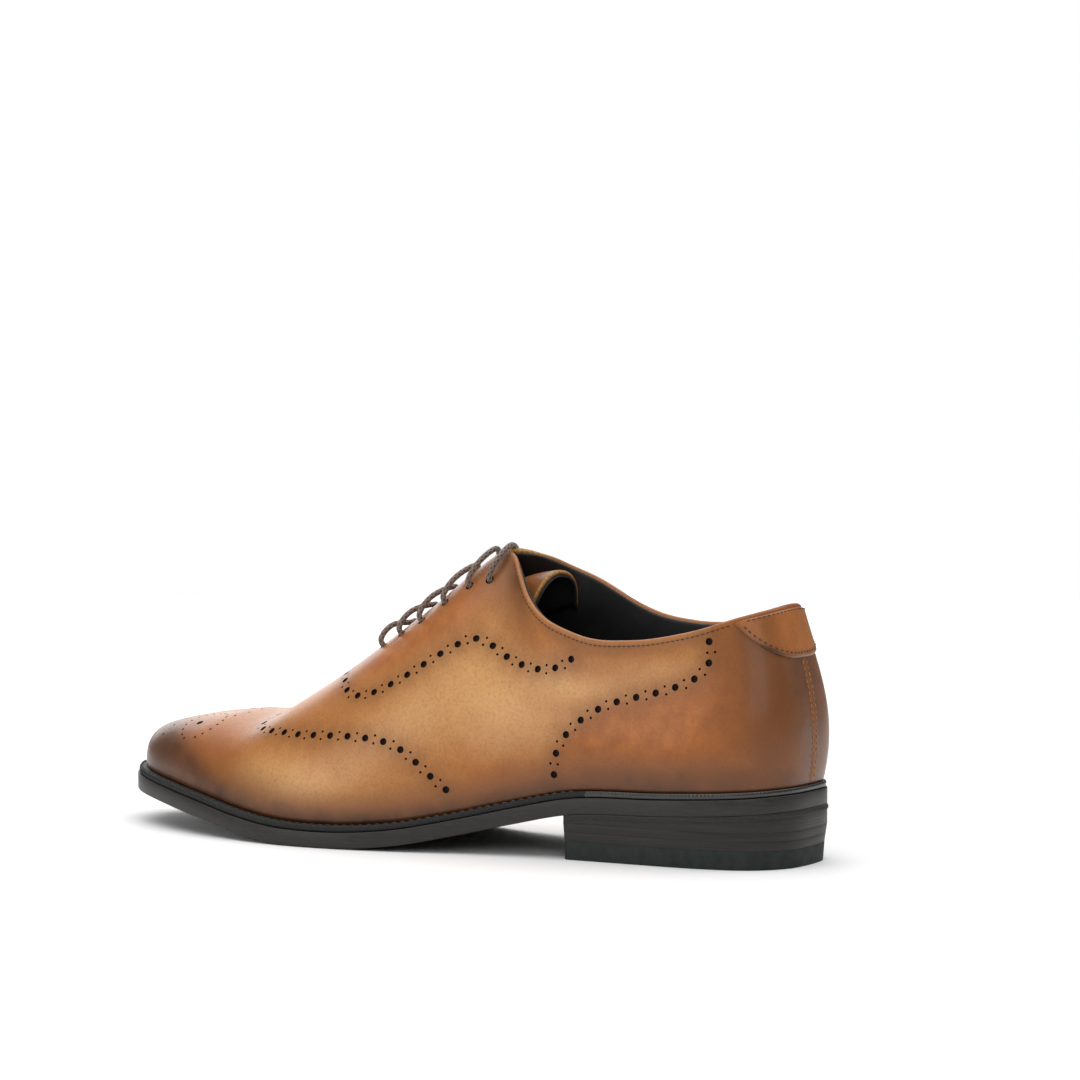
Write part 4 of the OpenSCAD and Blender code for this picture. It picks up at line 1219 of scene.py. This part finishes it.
route = [np.array(FRONT_END[0], float)]
for i, r in enumerate(BAR_ORDER):
    first = i % 2 == 1
    route += hole_to_bar(r, first) + [bar_middle(r)] + hole_to_bar(r, not first)[::-1]
    if i < HOLE_ROWS - 1:
        route += run(r, BAR_ORDER[i + 1], i % 2 == 0)
route.append(np.array(REAR_END[0], float))
braided("lace_cord", route, LACE_D, slot="lace_cord", replaces=("lace",))

# ---------------------------------------------------------------- sole


def plate(name, first, last, edge, low, high, materials, bevel, columns, steps, **what):
    """A plate between the two sides of the sole, its edge rounded, from station to station."""
    q = np.linspace(first, last, steps)
    share = 0.5 - 0.5 * np.cos(np.linspace(0, 1, columns) * np.pi)

    def side(stations, h, inset):
        return on_sole(stations, edge(stations) - inset, h)

    def across(start, end, h):
        start, end = side(start, h, bevel)[:, None], side(end, h, bevel)[:, None]
        rows = start + (end - start) * share[None, :, None]
        rows[..., 2] = sole_z(rows[..., 1], h)
        return rows

    down = [(high - 0.3 * bevel, 0.3 * bevel), (high - bevel, 0), (low + bevel, 0),
            (low + 0.3 * bevel, 0.3 * bevel)]
    right = np.stack([side(LAP - q, h, inset) for h, inset in down], 1)
    left = np.stack([side(q, h, inset) for h, inset in down[::-1]], 1)
    rings = np.concatenate(
        [across(q, LAP - q, high), right, across(LAP - q, q, low), left], axis=1)
    obj = swept(name, rings, False, materials, **what)
    sharpen(obj, 50)
    return obj


def sole_edge_at(q):
    return curve(SOLE_EDGE, wrap(q))[..., 0]


sole = plate("outsole_leather", 0.0, 13, sole_edge_at, 0, OUTSOLE_T, [SOLE, UNDERSIDE],
             0.35, 18, 320, slot="sole_leather", replaces=("outsole",))
for polygon in sole.data.polygons:
    if polygon.normal.z < -0.6:
        polygon.material_index = 1
plate("sock_leather", 0.02, 12.98, lambda q: 0 * q - LINING_IN - 0.4, 13.7, 14.7, [SOCK], 0.3,
      14, 160, slot="lining_leather", replaces=("sock_liner",))


def even_stations(first, last, spacing):
    """Stations at an even distance along the edge of the sole."""
    q = np.linspace(first, last, 4000)
    length = lengths(on_sole(q, sole_edge_at(q), WELT_LOW))
    at = np.linspace(0, length[-1], int(length[-1] / spacing) + 1)
    return np.interp(at, length, q), at


def welt_strip(name, first, last, inset, material, ribs, node):
    """A strip of welt, its edge wheeled with fine upright ribs."""
    q, at = even_stations(first, last, 0.3)
    edge = sole_edge_at(q) - inset
    rib = ribs * (0.5 + 0.5 * np.cos(at * 2 * np.pi / 1.5))
    h = WELT_T
    steps = [
        (-8, 0, 0), (-2, 0, 0), (None, 0.05, 0.0), (None, 0.35, 0.35), (None, h * 0.5, 0.45),
        (None, h - 0.35, 0.4), (None, h, 0.0), (-0.2, h, 0), (-3, h, 0), (-8, h, 0)]
    rings = []
    for out, height, swell in steps:
        o = edge - 0.45 + swell - rib * (swell > 0.1) if out is None else out
        rings.append(on_sole(wrap(q), o, WELT_LOW + height))
    obj = swept(name, np.stack(rings, 1), False, [material], slot="sole_leather",
                replaces=(node,))
    sharpen(obj, 60)


welt_strip("welt_leather", 4.5, LAP - 4.5, 0.6, WELT, 0.3, "welt")
welt_strip("heel_rand_leather", -4.5, 4.5, 0.4, RAND, 0.22, "heel_rand")

# Fine wheel marks round the top of the heel
q, at = even_stations(-4.75, 4.75, 0.25)
rib = 0.14 * np.cos(at * 2 * np.pi / 1.1)
wheel_rows = [(-1, -0.6), (0.12, -0.6), (0.24, -0.8), (0.24, -1.9), (0.12, -2.1), (-1, -2.1)]
rings = [on_sole(wrap(q), sole_edge_at(q) + out - (rib if out > 0.15 else 0), height)
         for out, height in wheel_rows]
wheel = swept("heel_wheel_marks", np.stack(rings, 1), False, [STACK], slot="stacked_leather")
sharpen(wheel, 60)

# Stitches that hold welt and outsole together
q, at = even_stations(4.7, LAP - 4.7, 3.4)
out = np.minimum(sole_edge_at(q) * 0.5, sole_edge_at(q) - 1.5) + 0.3
points = on_sole(wrap(q), out, WELT_LOW + WELT_T)
direction = np.gradient(points, axis=0)
normal = np.tile([0.0, 0, 1], (len(q), 1))
stitches("welt_stitches", points, unit(direction), normal, 2.6, 0.75, STITCH_BLACK,
         slot="sole_leather")

# ---------------------------------------------------------------- heel
# Station of the heel's front, at u 90: stations 4 and 5 lie at 66 and 95
BREAST = 4 + (90 - 66) / 29
TAPER, SEAM, BEVEL = 0.5, 0.03, 0.05
LIFT_LOW = [0, 7, 10.4, 13.8]


def heel_ring(inset):
    """Outline of the heel, with its two front corners a little rounded."""
    q = np.linspace(-BREAST, BREAST, 240)
    side = feather_at(wrap(q)) + outward(wrap(q)) * (sole_edge_at(q) - inset)[:, None]
    front = side[0] + (side[-1] - side[0]) * np.linspace(1, 0, 40)[1:-1, None]
    ring = np.concatenate([side, front])
    for _ in range(3):
        ring = (np.roll(ring, 1, 0) + 2 * ring + np.roll(ring, -1, 0)) / 4
    return ring


def lift(name, level, material, node, slot):
    """One layer of the heel. Its side leans out from its own level to the one above."""
    low = LIFT_LOW[level] + SEAM / 2 * (level > 0)
    wide, narrow = max(2 - level, 0), max(3 - level, 0)
    rows = [(0, narrow), (0, narrow + 2 * BEVEL), (BEVEL * 0.3, narrow + BEVEL * 0.6),
            (BEVEL, narrow), (-BEVEL, wide), (-BEVEL * 0.3, wide + BEVEL * 0.6),
            (0, wide + 2 * BEVEL), (0, wide)]
    rings = []
    for k, (dz, inset) in enumerate(rows):
        ring = heel_ring(TAPER * inset)
        if k in (0, len(rows) - 1):
            ring = ring.mean(0) + (ring - ring.mean(0)) * 0.02
        if k < 4:
            height = low
        elif level < 3:
            height = LIFT_LOW[level + 1] - SEAM / 2
        else:
            height = sole_z(ring[:, 1], -SEAM)
        rings.append(np.column_stack([ring, np.broadcast_to(height + dz, len(ring))]))
    obj = swept(name, rings, False, [material], slot=slot, replaces=(node,))
    sharpen(obj, 40)


for level, (name, node, material, slot) in enumerate((
        ("top_lift_rubber", "top_lift", RUBBER, "heel_rubber"),
        ("heel_lift_lower_leather", "heel_lift_lower", STACK, "stacked_leather"),
        ("heel_lift_upper_leather", "heel_lift_upper", STACK, "stacked_leather"),
        ("heel_seat_leather", "heel_seat_lift", STACK, "stacked_leather"))):
    lift(name, level, material, node, slot)

# ---------------------------------------------------------------- floor, lights, sky
sides = 96
angles = 2 * np.pi * np.arange(sides) / sides
floor_rings = [np.column_stack([np.cos(angles) * r, np.sin(angles) * r, 0 * angles])
               for r in (0.02, 0.3, 1.1)]
floor_faces = [list(f) for f in sweep_faces(3, sides, False)] + [list(range(sides))[::-1]]
floor_mesh = bpy.data.meshes.new("floor")
floor_mesh.from_pydata(np.concatenate(floor_rings), [], floor_faces)
floor_mesh.materials.append(floor_material())
floor = bpy.data.objects.new("floor", floor_mesh)
scene.collection.objects.link(floor)
outward_normals(floor)

# White behind the shoe, and a dimmer sky to light it
world = bpy.data.worlds.new("studio")
world.use_nodes = True
sky = world.node_tree.nodes["Background"]
sky.inputs["Color"].default_value = (1, 1, 1, 1)
strength = world.node_tree.nodes.new("ShaderNodeMapRange")
seen = world.node_tree.nodes.new("ShaderNodeLightPath").outputs["Is Camera Ray"]
world.node_tree.links.new(seen, strength.inputs["Value"])
strength.inputs["To Min"].default_value = 0.2
strength.inputs["To Max"].default_value = 1.0
world.node_tree.links.new(strength.outputs[0], sky.inputs["Strength"])
scene.world = world


def soft_box(name, aim, azimuth, elevation, distance, width, height, brightness):
    """A rectangle of light that faces a point, as bright as so many times plain white."""
    data = bpy.data.lights.new(name, "AREA")
    data.shape = "RECTANGLE"
    data.size, data.size_y = width, height
    data.energy = brightness * math.pi * width * height
    azimuth, elevation = math.radians(azimuth), math.radians(elevation)
    back = Vector((math.cos(azimuth) * math.cos(elevation),
                   math.sin(azimuth) * math.cos(elevation), math.sin(elevation)))
    obj = bpy.data.objects.new(name, data)
    obj.location = Vector(aim) + back * distance
    obj.rotation_euler = back.to_track_quat("Z", "Y").to_euler()
    obj.visible_camera = False
    scene.collection.objects.link(obj)


soft_box("top_box", (0, 0, 0), 0, 90, 3, 5, 5, 2.0)
soft_box("side_box", (0.03, 0.02, 0.05), -30, 16, 1.9, 0.9, 0.7, 3)
soft_box("heel_strip", (0.025, 0.134, 0.054), 33, 24, 1.8, 0.9, 0.5, 2.4)
soft_box("back_box", (0, 0.14, 0.08), 125, 35, 1.8, 0.7, 0.7, 2)
soft_box("white_wall", (0, -0.08, 0.04), 220, 22, 2.2, 1.6, 1.5, 2)
